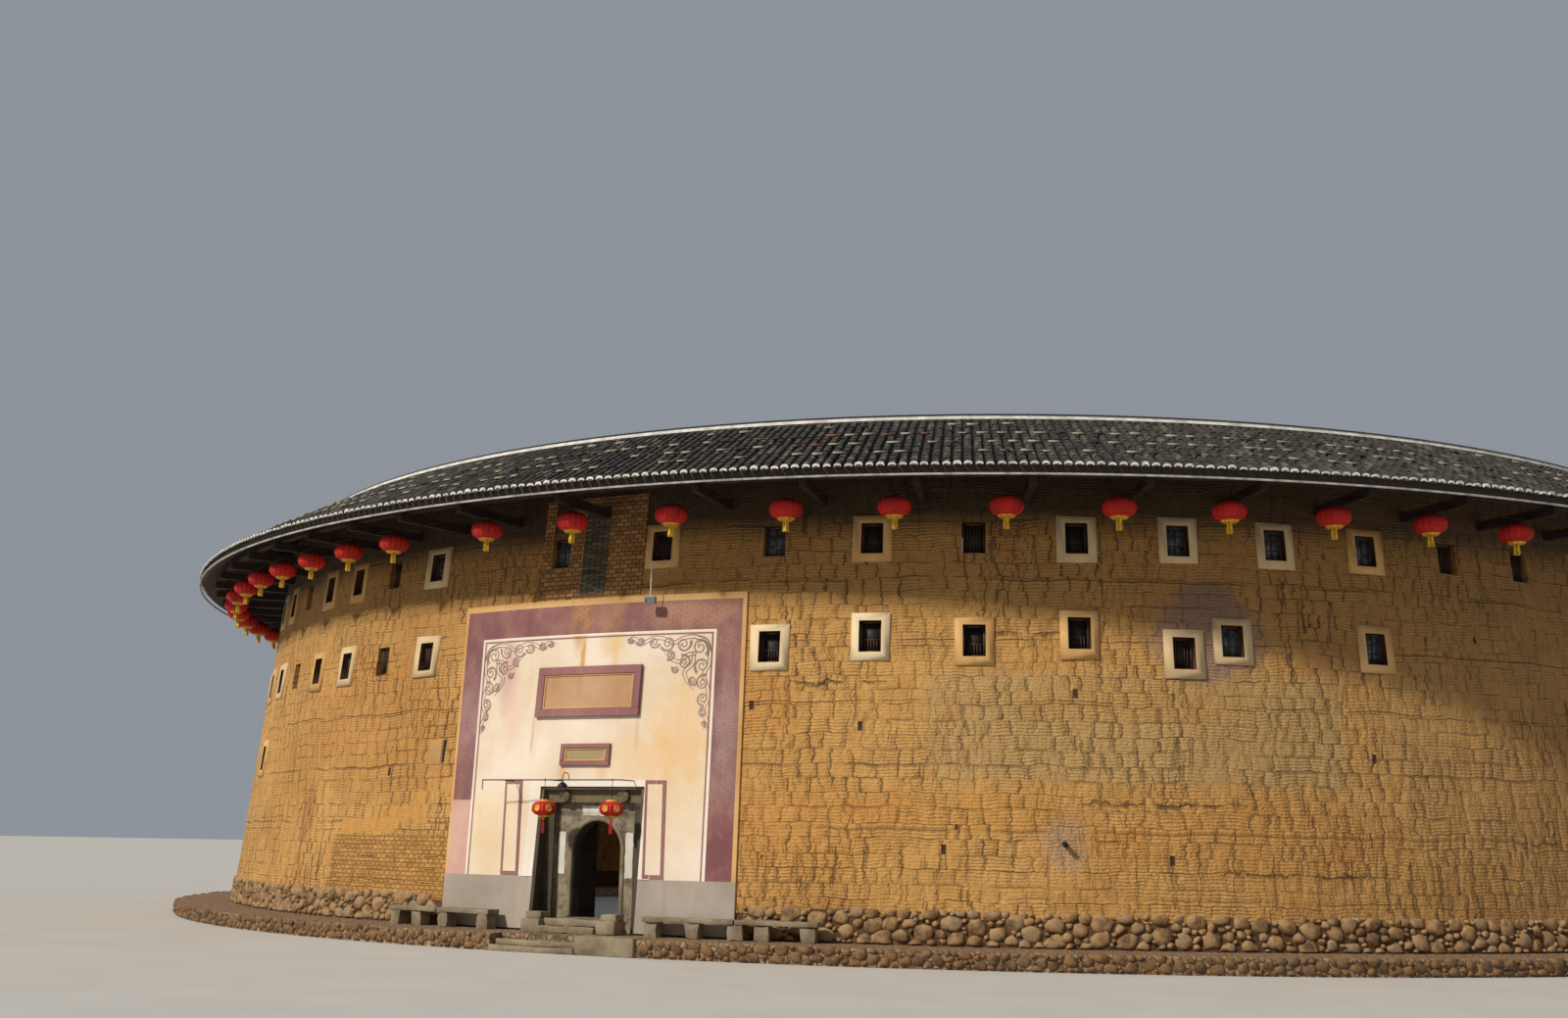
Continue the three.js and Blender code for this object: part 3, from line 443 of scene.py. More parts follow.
# Marks of the earth face: middle and half size, as length along the ring from the doorway and height
EARTH_STAINS = [
    ((17.7, 8.8), (1.6, 1.25), "8F7264", 0.85), ((17.7, 9.9), (0.85, 0.5), "8F7264", 0.8),
    ((13.5, 3.15), (0.6, 0.75), "B08C6C", 0.75),
    ((6.6, 3.5), (2.6, 1.3), "BF7F34", 0.3), ((10.5, 3.9), (3.2, 0.5), "BF7F34", 0.3),
    ((4.9, 6.9), (1.3, 0.9), "BF7F34", 0.3), ((19.0, 3.3), (4.5, 0.9), "BF7F34", 0.25),
    ((15.5, 6.9), (3.8, 0.6), "B98A45", 0.4), ((-13.6, 3.7), (0.45, 0.9), "9C5A38", 0.5),
    ((-9.5, 6.3), (4.2, 2.4), "A66D2E", 0.4), ((-16.5, 4.4), (2.0, 2.2), "B27F3C", 0.4),
]
# Rectangles as left, right, low and high
SMOOTH_EARTH = [
    (-11.0, -7.9, 3.1, 3.55), (-8.3, -6.3, 3.4, 3.92), (-7.3, -6.5, 3.85, 4.4), (-5.9, -5.3, 4.3, 4.75),
]
BRICKED, FADED = (-11.3, -4.0, 0.9, 3.05), (9.8, 21.5, 4.75, 7.7)
LEDGES = [(17.9, 21.8, 2.4), (14.2, 19.2, 4.2), (6.2, 8.4, 7.4), (11.4, 13.6, 8.75), (27.0, 31.0, 3.4)]
PUTLOG_HOLES = [
    (4.84, 6.78), (7.99, 6.2), (10.3, 2.93), (16.33, 2.75), (13.9, 7.15), (-8.6, 5.0), (22.4, 5.6),
]


def earth():
    """Rammed earth: blocks parted by upright cracks, fine lines of the boards, stains and mended places."""
    f = Finish("rammed_earth")
    arc, _ = f.around()
    jag = f.noise(3.1, 5, 0.68) - 0.5
    sway = f.noise(0.6, 3) - 0.5
    wavy_z = f.z + sway * 0.3
    wavy_arc = arc + jag * 0.42
    ragged = jag * 0.9 + sway * 0.8
    gaps = []
    for height, length, seed in ((0.4, 0.52, 17.31), (0.2, 0.3, 5.77), (1.5, 1.0, 9.73)):
        course = (wavy_z / height).floor()
        gaps.append(f.splits(wavy_arc / length + course * seed) * length)
    blocks, crumbs, long_cracks = gaps
    low_part = wavy_z.between(3.0, 2.8) * f.noise(0.9, 2).between(0.38, 0.5)
    broken_z = wavy_z + jag * 0.5
    ledge = f.either(*[
        arc.inside(left, right, 0.5) * abs(broken_z - z).between(0.05, 0.012) for left, right, z in LEDGES
    ])
    ledge = ledge * f.noise(1.4, 3).between(0.42, 0.56)
    calm = f.noise(0.28, 3).between(0.44, 0.56, 0.35, 1.0)
    deep = f.either(f.noise(0.45, 2).between(0.58, 0.66), low_part * 0.9)
    crack = f.either(
        blocks.between(0.004, 0.03, 1.0, 0.0) * f.noise(1.1, 3).between(0.36, 0.62, 0.15, 1.0),
        crumbs.between(0.003, 0.02, 1.0, 0.0) * f.noise(0.5, 3).between(0.46, 0.64, 0.0, 0.6),
        long_cracks.between(0.01, 0.045, 1.0, 0.0) * deep,
    ) * calm
    joints = []
    for height, edge, scale, low in ((0.4, 0.46, 1.3, 0.46), (1.72, 0.488, 0.4, 0.42)):
        share = abs(((wavy_z + jag * 0.12) / height).fract() - 0.5)
        joints.append(share.between(edge, 0.498) * f.noise(scale, 3).between(low, low + 0.16))
    ribs = f.math("SINE", wavy_z * 70.0 + jag * 9.0)
    ribs = ribs * f.noise(0.8, 3).between(0.4, 0.6, 0.25, 1.0)
    # Upright folds that rain has washed into the right side of the wall
    folds = f.noise(1.0, 3, 0.6, at=f.vector(arc * 1.9, f.z * 0.55))
    folds = folds * arc.between(11.0, 26.0) * (f.z + sway * 4.0).between(8.0, 5.0, 0.35, 1.0)
    grain = f.noise(16.0, 5, 0.65)
    lumps = f.noise(2.4, 4, 0.6)
    holes = [f.cells(f.vector(arc * 1.8, f.z), 0.3, "F1", "Distance").between(0.026, 0.036, 1.0, 0.0)]
    holes += [f.field(arc, f.z, at - 0.06, at + 0.06, z - 0.12, z + 0.12, 0.015) for at, z in PUTLOG_HOLES]
    hole = f.either(*holes)
    brick, brick_tone = f.small_bricks(wavy_arc)
    edge_arc, edge_z = arc + jag * 0.35, f.z + jag * 0.25
    bricked = f.field(edge_arc, edge_z, *BRICKED)
    smooth = f.either(*[f.field(edge_arc, edge_z, *place) for place in SMOOTH_EARTH])
    rough_part = 1.0 - smooth
    crack = crack * rough_part * (1.0 - bricked * 0.6)
    joint = f.either(*joints) * rough_part
    height = blocks.between(0.0, 0.14) * calm * 0.5 + crumbs.between(0.0, 0.07) * 0.1
    height = f.blend(bricked, height, brick * 0.4)
    height = height + ribs * rough_part * 0.11 + lumps * 0.95 + grain * 0.35 + folds * 1.9
    height = height - (crack * 0.9 + joint * 0.55 + ledge * 1.6 + hole * 1.5)
    broad = f.noise(0.2, 5, 0.6)
    f.colour = f.ramp(broad, (0.32, 0.46, 0.58, 0.72), ("AE7D42", "C08F4D", "CA9A56", "BC9159"))
    f.tint(grain.between(0.4, 0.68, 0.0, 0.3), "CE9D59")
    f.tint(lumps.between(0.55, 0.32, 0.0, 0.3), "8E6030")
    f.tint(ribs.between(0.2, -0.9, 0.0, 0.2), "7A5026")
    f.tint(f.field(edge_arc, edge_z, *FADED, 0.2) * 0.5, "AC9263")
    for middle, half, tint, share in EARTH_STAINS:
        f.tint(f.blotch(arc, ragged, middle, half) * share, tint)
    f.tint(f.noise(0.5, 4).between(0.58, 0.72) * 0.4, "B87A3C")
    f.tint(bricked * 0.75, f.ramp(brick_tone, (0.0, 0.5, 1.0), ("A37236", "B78542", "C39150")))
    f.tint(bricked * brick.between(1.0, 0.0) * 0.4, "6E4A24")
    f.tint(smooth * 0.8, "C08B45")
    # Darker brown high on the wall: weathering, and painted shade below the eave.
    f.tint((f.z + broad * 2.0).between(9.0, 11.5) * 0.4, "86602F")
    # Near black at the top, right under the eave: painted shade.
    f.tint((f.z + sway * 0.6).between(11.5, 12.3, 0.0, 0.88), "1E150C")
    # Darker and greyer far to the right: painted shade where the sun falls on the wall at a slant.
    f.tint(arc.between(15.0, 27.0) * arc.between(42.0, 30.0) * 0.35, "7F5F3A")
    # Cracks, ledges and holes are darkened: painted shade in them. The joints' darker line is their own
    # colour.
    f.tint(crack * 0.7, "472C15")
    f.tint(joint * 0.5, "523519")
    f.tint(ledge * 0.65, "3E2712")
    f.tint(hole * 0.92, "20140B")
    return f.done(0.93, height, 0.085)


def infill(name, tones, joint, *size):
    """Small bricks or flat stones that fill a mended place."""
    f = Finish(name)
    arc, _ = f.around()
    face, tone = f.small_bricks(arc, *size)
    f.colour = f.ramp(tone, (0.0, 0.5, 1.0), tones)
    f.tint(face.between(0.0, 1.0, 0.85, 0.0), joint)
    return f.done(0.92, face + f.noise(20.0, 4) * 0.3, 0.015)


def paving(name, tones, mortar, size):
    """River stones laid flat in mud."""
    f = Finish(name)
    tone = f.cells(f.at, 1 / size, "F1", "Color")
    stone = f.cells(f.at, 1 / size, "DISTANCE_TO_EDGE", "Distance").between(0.02, 0.16)
    places = (0.2, 0.5, 0.8)
    colour = f.mix(0.5, f.ramp(tone, places, tones), f.ramp(f.noise(9.0), places, tones))
    f.colour = f.mix(stone, mortar, colour)
    return f.done(0.85, stone**0.5, 0.02)


def stones(name, tones, light):
    """River stones, each of its own tone."""
    f = Finish(name)
    f.colour = f.ramp(f.noise(2.3, 2), (0.35, 0.46, 0.55, 0.66), tones)
    grain = f.noise(14.0, 5, 0.6)
    f.tint(grain.between(0.4, 0.7, 0.0, 0.4), light)
    return f.done(grain.between(0.3, 0.7, 0.65, 0.9), grain, 0.012)


def mud():
    f = Finish("mud_between_stones")
    grain = f.noise(12.0, 5)
    # Dark mud, darkened further as painted shade in the gaps between the stones.
    f.colour = f.ramp(grain, (0.3, 0.7), ("3A2817", "6A4C2C"))
    return f.done(0.95, grain, 0.02)


def dressed(name, low, high, stain, wash=None):
    """Worn, cut stone with pits and dark weather stains. wash adds old lime round the arch, and painted
    shade on the sides of the passage behind it.
    """
    f = Finish(name)
    broad = f.noise(1.4, 5, 0.6)
    fine = f.noise(22.0, 5, 0.6)
    f.colour = f.ramp(broad, (0.35, 0.65), (low, high))
    if wash:
        arch = f.x.inside(-1.36, 1.36, 0.02) * f.z.between(4.06, 4.02) * f.y.between(-30.72, -30.7)
        f.tint(arch * f.noise(2.6, 6, 0.68).between(0.36, 0.6, 0.15, 0.95), wash)
        f.tint(f.z.inside(4.06, 4.42, 0.02) * 0.7, "83714A")
        # Near black on the passage's sides behind the arch: painted shade of the dark doorway.
        passage_shade = f.x.inside(-0.85, 0.85, 0.02) * f.y.between(-30.52, -30.48) * f.z.between(0.86, 0.9)
        f.tint(passage_shade * 0.85, "120E0A")
    f.tint(f.noise(3.3).between(0.55, 0.72, 0.0, 0.6), stain)
    f.tint(fine.between(0.4, 0.65, 0.35, 0.0), stain)
    return f.done(fine.between(0.3, 0.7, 0.6, 0.85), broad + fine * 0.5, 0.015)


def boards(name, low, high, size, upright=False):
    """Sawn boards with gaps, grain along them, and grey weather."""
    f = Finish(name)
    arc, r = f.around(28.0)
    along = f.z if upright else r
    over = arc / size
    tone = f.chance(f.vector(over.floor(), 3.0, 1.0))
    gap = abs(over.fract() - 0.5).between(0.46, 0.5, 1.0, 0.0)
    grain = f.noise(1.6, 6, 0.6, 0.4, f.vector(along * 0.7, arc * 12.0, tone))
    f.colour = f.ramp(grain, (0.3, 0.7), (low, high))
    f.tint(tone.between(0.0, 1.0, 0.0, 0.45), low)
    f.tint(gap.between(0.0, 1.0, 0.85, 0.0), "120C08")
    return f.done(grain.between(0.3, 0.7, 0.65, 0.85), grain * 0.4 + gap, 0.012)


def plain_wood(name, low, high, scale=3.0):
    f = Finish(name)
    grain = f.noise(scale, 6, 0.6, 0.5, f.vector(f.x * 4.0, f.y * 4.0, f.z * 0.5))
    f.colour = f.ramp(grain, (0.3, 0.7), (low, high))
    return f.done(grain.between(0.3, 0.7, 0.6, 0.8), grain, 0.006)


def roof_tile(name, tones, dusty):
    """Dark clay tiles, each a little different, with dust and lichen."""
    f = Finish(name)
    arc, r = f.around(OUTER_EAVE)
    row = (arc / (TILE_SPACING / 2)).floor()
    courses = r / ((ROOF_EDGE - RIDGE_RADIUS) / TILE_COURSES)
    f.colour = f.ramp(f.chance(f.vector(row, courses.floor())), (0.0, 0.5, 0.85, 1.0), tones)
    dust = f.noise(5.0, 5, 0.65)
    f.tint(dust.between(0.5, 0.75, 0.0, 0.55), dusty)
    f.tint(f.noise(0.35).between(0.5, 0.75, 0.0, 0.4), "262422")
    f.tint(courses.fract().between(0.75, 1.0) * 0.2, dusty)
    return f.done(dust.between(0.3, 0.7, 0.7, 0.95), courses.fract() + dust * 0.4, 0.02)


def lime(name, low, high):
    f = Finish(name)
    broad = f.noise(3.0, 5, 0.65)
    fine = f.noise(25.0)
    f.colour = f.ramp(broad, (0.35, 0.6), (low, high))
    f.tint(fine.between(0.5, 0.7, 0.0, 0.4), "8F887C")
    return f.done(0.85, broad + fine, 0.01)


# Stains of the painted panel: middle, half size, tint and strength
CREAM_STAINS = [
    ((-0.95, 9.1), (0.2, 0.6), "C98B2E", 0.8), ((-0.72, 8.35), (0.075, 0.75), "C98A2C", 0.8),
    ((0.3, 8.9), (0.35, 0.6), "D9AE6A", 0.55), ((0.4, 8.2), (0.12, 0.6), "D9AE6A", 0.4),
    ((2.9, 6.0), (1.0, 1.6), "DDB172", 0.6), ((1.9, 5.35), (1.5, 0.7), "DFB478", 0.5),
    ((-3.5, 3.3), (1.0, 1.1), "DDBE8C", 0.45), ((2.9, 3.7), (0.9, 0.9), "DDBE8C", 0.4),
    ((-3.5, 7.9), (0.3, 0.95), "C29A94", 0.7), ((-3.2, 6.6), (0.35, 0.9), "DDBBAA", 0.5),
    ((-1.07, 4.9), (0.12, 0.4), "CE9A66", 0.6), ((0.3, 4.95), (0.16, 0.3), "D9A784", 0.5),
    ((-2.3, 6.0), (0.06, 0.6), "C9A08A", 0.6), ((1.35, 6.1), (0.07, 0.5), "CDA487", 0.5),
]
MAUVE_STAINS = [
    ((-0.9, 9.45), (0.4, 0.5), "B5834A", 0.7), ((0.2, 9.4), (0.4, 0.6), "AE8258", 0.6),
    ((3.1, 9.5), (1.5, 0.45), "B48A66", 0.55), ((4.0, 8.6), (0.5, 0.7), "A87F6C", 0.5),
    ((-3.8, 9.45), (1.3, 0.35), "7A4550", 0.5), ((-4.9, 6.6), (0.5, 1.8), "A98A86", 0.55),
    ((4.1, 5.9), (0.45, 1.6), "A98B84", 0.6), ((4.15, 2.7), (0.6, 0.75), "6E3942", 0.75),
    ((-4.6, 8.0), (0.6, 0.8), "6E3942", 0.45), ((-5.0, 5.0), (0.6, 0.9), "6E3942", 0.5),
]


def plaster(name, low, high, stain, run=0.3, marks=(), ruled=0.0):
    """Painted lime plaster: a broad change of tone, rain streaks, hairline wear and known stains."""
    f = Finish(name)
    arc, _ = f.around()
    broad = f.noise(0.45, 5, 0.6)
    streaks = f.noise(1.0, 5, 0.6, at=f.vector(arc * 3.2, f.z * 0.22))
    fine = f.noise(18.0, 5, 0.6)
    f.colour = f.ramp(broad, (0.35, 0.62), (low, high))
    f.tint(streaks.between(0.55, 0.75, 0.0, run), stain)
    ragged = (f.noise(2.2, 5, 0.65) - 0.5) * 1.5
    for middle, half, tint, share in marks:
        f.tint(f.blotch(arc, ragged, middle, half, 0.5) * share, tint)
    f.tint(fine.between(0.58, 0.75, 0.0, 0.25), stain)
    if ruled:
        mottled = f.noise(1.5, 5, 0.65, at=f.vector(arc, f.z * 0.6))
        f.tint(mottled.between(0.5, 0.34, 0.0, 0.7 * ruled), stain)
        f.tint(mottled.between(0.5, 0.66, 0.0, 1.2 * ruled), low)
        face, tone = f.small_bricks(arc, 0.28, 0.085)
        worn = f.noise(1.6).between(0.35, 0.6)
        f.tint(face.between(1.0, 0.0) * worn * ruled, low)
        f.tint(tone * 0.12, low)
    return f.done(fine.between(0.3, 0.7, 0.75, 0.92), broad * 0.6 + fine * 0.4, 0.012)


def silk(name, low, high):
    """Thin red silk over bamboo ribs."""
    f = Finish(name)
    weave = f.noise(60.0, 3)
    f.colour = f.ramp(weave * 0.4 + f.noise(2.5, 3) * 0.6, (0.35, 0.62), (low, high))
    # The upper side of the lanterns on the string is in the eave's shade.
    f.tint(f.z.between(12.1, 12.33, 0.0, 0.8), "2E0502")
    return f.done(0.75, weave, 0.004)


def worn(name, low, high, scale, places, rough, depth, **sockets):
    """Metal or glass, paler and duller where it is worn or dusty."""
    f = Finish(name)
    wear = f.noise(scale, 5, 0.6)
    f.colour = f.ramp(wear, places, (low, high))
    return f.done(wear.between(0.3, 0.7, *rough), wear, depth, **sockets)


EARTH, MUD = earth(), mud()
ADOBE = infill("adobe_bricks", ("80582F", "9A6C3B", "AC7F4B"), "4E351D")
FLAT_STONES = infill("flat_stones", ("3E382A", "5C523D", "766B52"), "241F16", 0.42, 0.075)
STONE = stones("river_stone", ("54391E", "83603A", "A07C52", "7D6B54"), "B4966A")
# A darker copy of the river stone: painted shade, as the terrace's edge stands in less light.
EDGE_STONE = stones("terrace_edge_stone", ("422E1A", "66482A", "7E5B34", "5A4936"), "8E6C42")
PAVING = paving("cobble_paving", ("7A5E40", "96785A", "A98A66"), "5F4830", 0.16)
PALE_STONE = dressed("arch_stone", "6A5C46", "97886B", "4A3E2D")
# Darker than the other dressed stone: soot, and painted shade of the portal's recess.
PORTAL = dressed("portal_stone", "332B1F", "534733", "1E1810", "A3927A")
SLAB = dressed("worn_slab", "74654E", "9E8E72", "54462F")
GREY_CEMENT = plaster("grey_cement", "94877A", "A89A8C", "7C6F60", 0.4)
CREAM = plaster("cream_plaster", "D9C3A6", "E6D7C4", "D3B07E", 0.35, CREAM_STAINS)
MAUVE = plaster("mauve_paint", "74484A", "91625B", "AD856B", 0.35, MAUVE_STAINS, 0.5)
FRAME_MAUVE = plaster("mauve_moulding", "835357", "986A66", "B08A74")
PINK = plaster("faded_pink_paint", "BE917F", "CEA695", "B88A74", ruled=0.3)
OCHRE = plaster("ochre_plaster", "BF8F50", "D4AA70", "A8753C", 0.4)
WHITE_LINE = plaster("white_line_paint", "DCD0C0", "EBE1D4", "C4AE92")
CREAM_BAND = plaster("cream_surround", "D2B68C", "E2CCA4", "BC925A", 0.45)
TAN_BAND = plaster("tan_surround", "C2A47A", "D6BC92", "A58457", 0.45)
EARTH_PLASTER = plaster("earth_plaster", "9C7443", "B78C56", "7E5C34")
BOARD_TAN = plaster("tan_board", "AE835C", "BF9874", "966744")
BOARD_OLIVE = plaster("olive_board", "93805A", "AA966C", "7B6A48")
SCROLL = plaster("scroll_paint", "8C7068", "A98E84", "C9AE96", 0.2)
PAPER = plaster("old_paper", "B3AA98", "DAD4C7", "82765F", 0.6)
TILE = roof_tile("clay_tile", ("1B1814", "2F2B24", "433D33", "665E52"), "5E574A")
# A darker copy of the clay tile: painted shade in the valleys between the rows of tiles and on the ridge's
# dark courses.
VALLEY_SHADE = roof_tile("valley_tile_painted_shade", ("0C0B09", "14120F", "1D1A16", "2A2620"), "25211B")
LIME = lime("lime", "B9B3A8", "E4E0D8")
OLD_LIME = lime("weathered_lime", "746B5C", "ACA28E")
RED_BRICK = lime("red_brick", "653725", "84492F")
DRIP_BOARD = lime("pale_drip_board", "7C7872", "B6B2AA")
POLE_PAINT = lime("white_pole_paint", "B8B8B4", "E8E8E6")
EAVE_BOARDS = boards("eave_boards", "1F1710", "41301F", 0.24)
FLOOR_WOOD = boards("floor_boards", "35251A", "6B4D33", 0.22)
GALLERY_WOOD = boards("gallery_boards", "3A291C", "735438", 0.19, upright=True)
BEAM_WOOD = plain_wood("beam_wood", "140D09", "34241A")
WINDOW_WOOD = plain_wood("window_wood", "2C1C12", "5A3B24")
# Near-black sheet behind the bars of unglazed windows: painted shade of the rooms behind them.
INTERIOR_SHADE_SHEET = plain_wood("painted_interior_shade", "0E0A08", "241A13")
DOOR_WOOD = plain_wood("door_wood", "1C130D", "3E2B1D")
LAMP_GREY = plain_wood("grey_lamp_paint", "8B8578", "A49D8F", 1.0)
SILK = silk("red_silk", "900A02", "CE1C08")
RED_TASSEL = silk("red_tassel", "8C0B05", "C41A0E")
GILT = worn("gilt_trim", "A66F10", "E7B23A", 14.0, (0.35, 0.6), (0.4, 0.65), 0.004)
TASSEL = worn("yellow_tassel", "B98A12", "E8C02E", 14.0, (0.35, 0.6), (0.4, 0.65), 0.004)
IRON = worn("black_iron", "17171A", "3A3734", 16.0, (0.4, 0.68), (0.4, 0.7), 0.003, Metallic=0.6)
GLASS = worn("dusty_glass", "2A3138", "6F7880", 6.0, (0.35, 0.7), (0.12, 0.4), 0.002)


# Roof
QUARTERS = ["front_right", "back_right", "back_left", "front_left"]


def roof_boards():
    """Both slopes without their tiles: boards below, valleys above, dark with painted shade."""
    eave, ridge = outer_under(OUTER_EAVE), outer_under(RIDGE_RADIUS)
    profile = [
        (ROOF_EDGE - 0.18, eave + BOARDS),
        (ROOF_EDGE - 0.16, eave + BOARDS + 0.07),
        (ROOF_EDGE - 0.14, eave + TOP_AT_EAVE),
        (RIDGE_RADIUS, ridge + TOP_AT_RIDGE),
        (RIDGE_RADIUS, ridge + BOARDS),
    ]
    outer = Shape()
    i = np.arange(TURN)
    after = (i + 1) % TURN
    faces = np.stack([2 * i, 2 * after, 2 * after + 1, 2 * i + 1], -1)
    # Front and underside take the eave boards, the top between the tile rows the valleys' painted shade, the
    # side at the ridge lime.
    for mark, a, b in zip((1, 1, 0, 2, 1), profile, profile[1:] + profile[:1]):
        rows = on_ring(i[:, None], np.array([a[0], b[0]]), np.array([a[1], b[1]]))
        outer.add(rows, faces, mark=mark)
    nodes = ["outer_roof_" + quarter for quarter in QUARTERS]
    make("outer_roof_boards", outer, [VALLEY_SHADE, EAVE_BOARDS, LIME], nodes, mend=False)
    inner = Shape()
    eave, ridge = inner_under(INNER_EAVE), inner_under(RIDGE_RADIUS)
    profile = [
        (INNER_EAVE, eave + BOARDS),
        (RIDGE_RADIUS, ridge + BOARDS),
        (RIDGE_RADIUS, ridge + TOP_AT_RIDGE),
        (INNER_EAVE, eave + TOP_AT_EAVE),
    ]
    inner.band(profile, mark=1)
    nodes = ["inner_roof_right", "inner_roof_left"]
    make("inner_roof_boards", inner, [TILE, EAVE_BOARDS], nodes, mend=False)


def tile_rows(start, eave, ridge, count, courses):
    """A quarter's rows of overlapping cover tiles. eave and ridge are each a radius and a height."""
    step = TURN / count
    first, last = [math.ceil(azimuth / step - 1e-6) for azimuth in (start, start + TURN / 4)]
    azimuths = np.arange(first, last) * step
    k = len(azimuths)
    t = np.linspace(0, 1, courses + 1)
    overlap = 0.006
    rings = []
    for i in range(courses):
        rings += [(t[i], 1.0), (t[i + 1] + overlap, 0.8)]
    place, swell = np.array(rings).T
    r = eave[0] + (ridge[0] - eave[0]) * place
    z = eave[1] + (ridge[1] - eave[1]) * place
    # A tile is widest at its lower end, and its narrow upper end lies under the next one.
    half = 0.112 * r / eave[0] * (0.86 + 0.14 * swell)
    high = 0.1 * swell
    drift = np.repeat(rng.normal(0, 0.007, (k, courses)), 2, axis=1)
    lift = np.repeat(rng.normal(0, 0.006, (k, courses)), 2, axis=1)
    across = np.array([-1.0, -0.72, 0.0, 0.72, 1.0])
    up = np.array([-0.15, 0.72, 1.0, 0.72, -0.15])
    x = across * half[:, None] + drift[..., None]
    y = -r[:, None] + 0 * x
    height = z[:, None] + up * high[:, None] + lift[..., None]
    points = np.stack([x, y, height], -1).reshape(k, -1, 3)
    shape = Shape()
    shape.copies(points, azimuths, grid_faces(len(r), len(across))[:, ::-1], [(0, 4, 3, 2, 1)])
    return shape


def limed_ends():
    """Crescents of lime on the lower end of each row of tiles."""
    angles = np.linspace(0, math.pi, 7)
    outer = np.stack([0.108 * np.cos(angles), 0.015 + 0.085 * np.sin(angles) ** 0.7], -1)
    inner = np.stack([0.085 * np.cos(angles), 0.035 * np.sin(angles)], -1)
    thick = 0.06
    section = [((a, 0.0), (b, 0.0), (b, thick), (a, thick)) for a, b in zip(outer, inner)]
    crescent = np.array([(x, y, z) for corners in section for (x, z), y in corners])
    even = np.zeros(TILE_ROWS)
    size = 1 + np.stack([rng.normal(0, 0.04, TILE_ROWS), even, rng.normal(0, 0.12, TILE_ROWS)], -1)
    shift = np.stack([rng.normal(0, 0.008, TILE_ROWS), even, rng.normal(0, 0.006, TILE_ROWS)], -1)
    place = (0, -(ROOF_EDGE + 0.01), outer_under(OUTER_EAVE) + TOP_AT_EAVE)
    last = 4 * len(angles) - 4
    caps = [(3, 2, 1, 0), (last, last + 1, last + 2, last + 3)]
    ends = Shape()
    points = crescent * size[:, None] + place + shift[:, None]
    ends.copies(points, np.arange(TILE_ROWS) * TURN / TILE_ROWS, grid_faces(len(angles), 4, wrap=True), caps)
    make("limed_tile_ends", ends, [LIME], smooth=40)


def bricks_on_tiles():
    """Bricks laid across every second valley on some courses, to hold the tiles down."""
    held = Shape()
    for course, share in ((2, 0.55), (5, 0.85), (8, 0.8), (11, 0.12)):
        place = (course + 0.9) / TILE_COURSES
        r = ROOF_EDGE + (RIDGE_RADIUS + 0.2 - ROOF_EDGE) * place
        z = outer_under(r) + TOP_AT_EAVE + (TOP_AT_RIDGE - TOP_AT_EAVE) * place + 0.08
        valleys = np.arange(course % 2, TILE_ROWS, 2) + 0.5
        valleys = valleys[rng.random(len(valleys)) < share]
        k = len(valleys)
        brick = block(-0.15, 0.15, -0.04, 0.04, 0.0, 0.045)
        brick[:, 2] += brick[:, 1] * ROOF_PITCH
        size = 1 + rng.normal(0, 0.1, (k, 1, 3))
        points = brick * size + (0, -r, z) + rng.normal(0, 0.006, (k, 1, 3))
        kind = np.digitize(rng.random(k), (0.68, 0.97))
        for mark in range(3):
            chosen = kind == mark
            held.copies(points[chosen], valleys[chosen] * TURN / TILE_ROWS, BLOCK_FACES, mark=mark)
    make("bricks_on_tiles", held, [OLD_LIME, TILE, RED_BRICK], smooth=0)


def ridge_and_eave():
    """Drip board along the eave, the ridge's courses with lime between courses in painted shade, and
    rafters.
    """
    drip = Shape()
    drip.band(oblong(ROOF_EDGE - 0.05, ROOF_EDGE + 0.005, EAVE_UNDER, EAVE_UNDER + 0.05), step=0.5)
    make("drip_board", drip, [DRIP_BOARD])
    ridge = Shape()
    base = outer_under(RIDGE_RADIUS) + TOP_AT_RIDGE - 0.12
    lime_low, lime_top = RIDGE_TOP - 0.18, RIDGE_TOP - 0.06
    # The courses below and above the lime take the tiles' darker copy, which paints shade.
    for half, low, upper_half, high, mark in (
        (0.24, base, 0.21, lime_low, 1),
        (0.21, lime_low, 0.17, lime_top, 0),
        (0.2, lime_top, 0.1, RIDGE_TOP, 1),
    ):
        profile = ((-half, low), (half, low), (upper_half, high), (-upper_half, high))
        ridge.band([(RIDGE_RADIUS + out, z) for out, z in profile], mark=mark)
    make("ridge_band", ridge, [LIME, VALLEY_SHADE], ["ridge_right", "ridge_left"])
    rafters = Shape()
    half_width, deep = 0.045, 0.1
    count = round(2 * math.pi * RIDGE_RADIUS / RAFTER_SPACING)
    for low, high, under_at in (
        (OUTER_EAVE - 0.35, RIDGE_RADIUS + 0.02, outer_under),
        (INNER_EAVE + 0.02, RIDGE_RADIUS - 0.02, inner_under),
    ):
        rafter = block(-half_width, half_width, -low, -high, 0, deep)
        rafter[:, 2] += under_at(-rafter[:, 1])
        rafters.copies(rafter, np.arange(count) * TURN / count, BLOCK_FACES)
    make("rafters", rafters, [BEAM_WOOD], smooth=0)


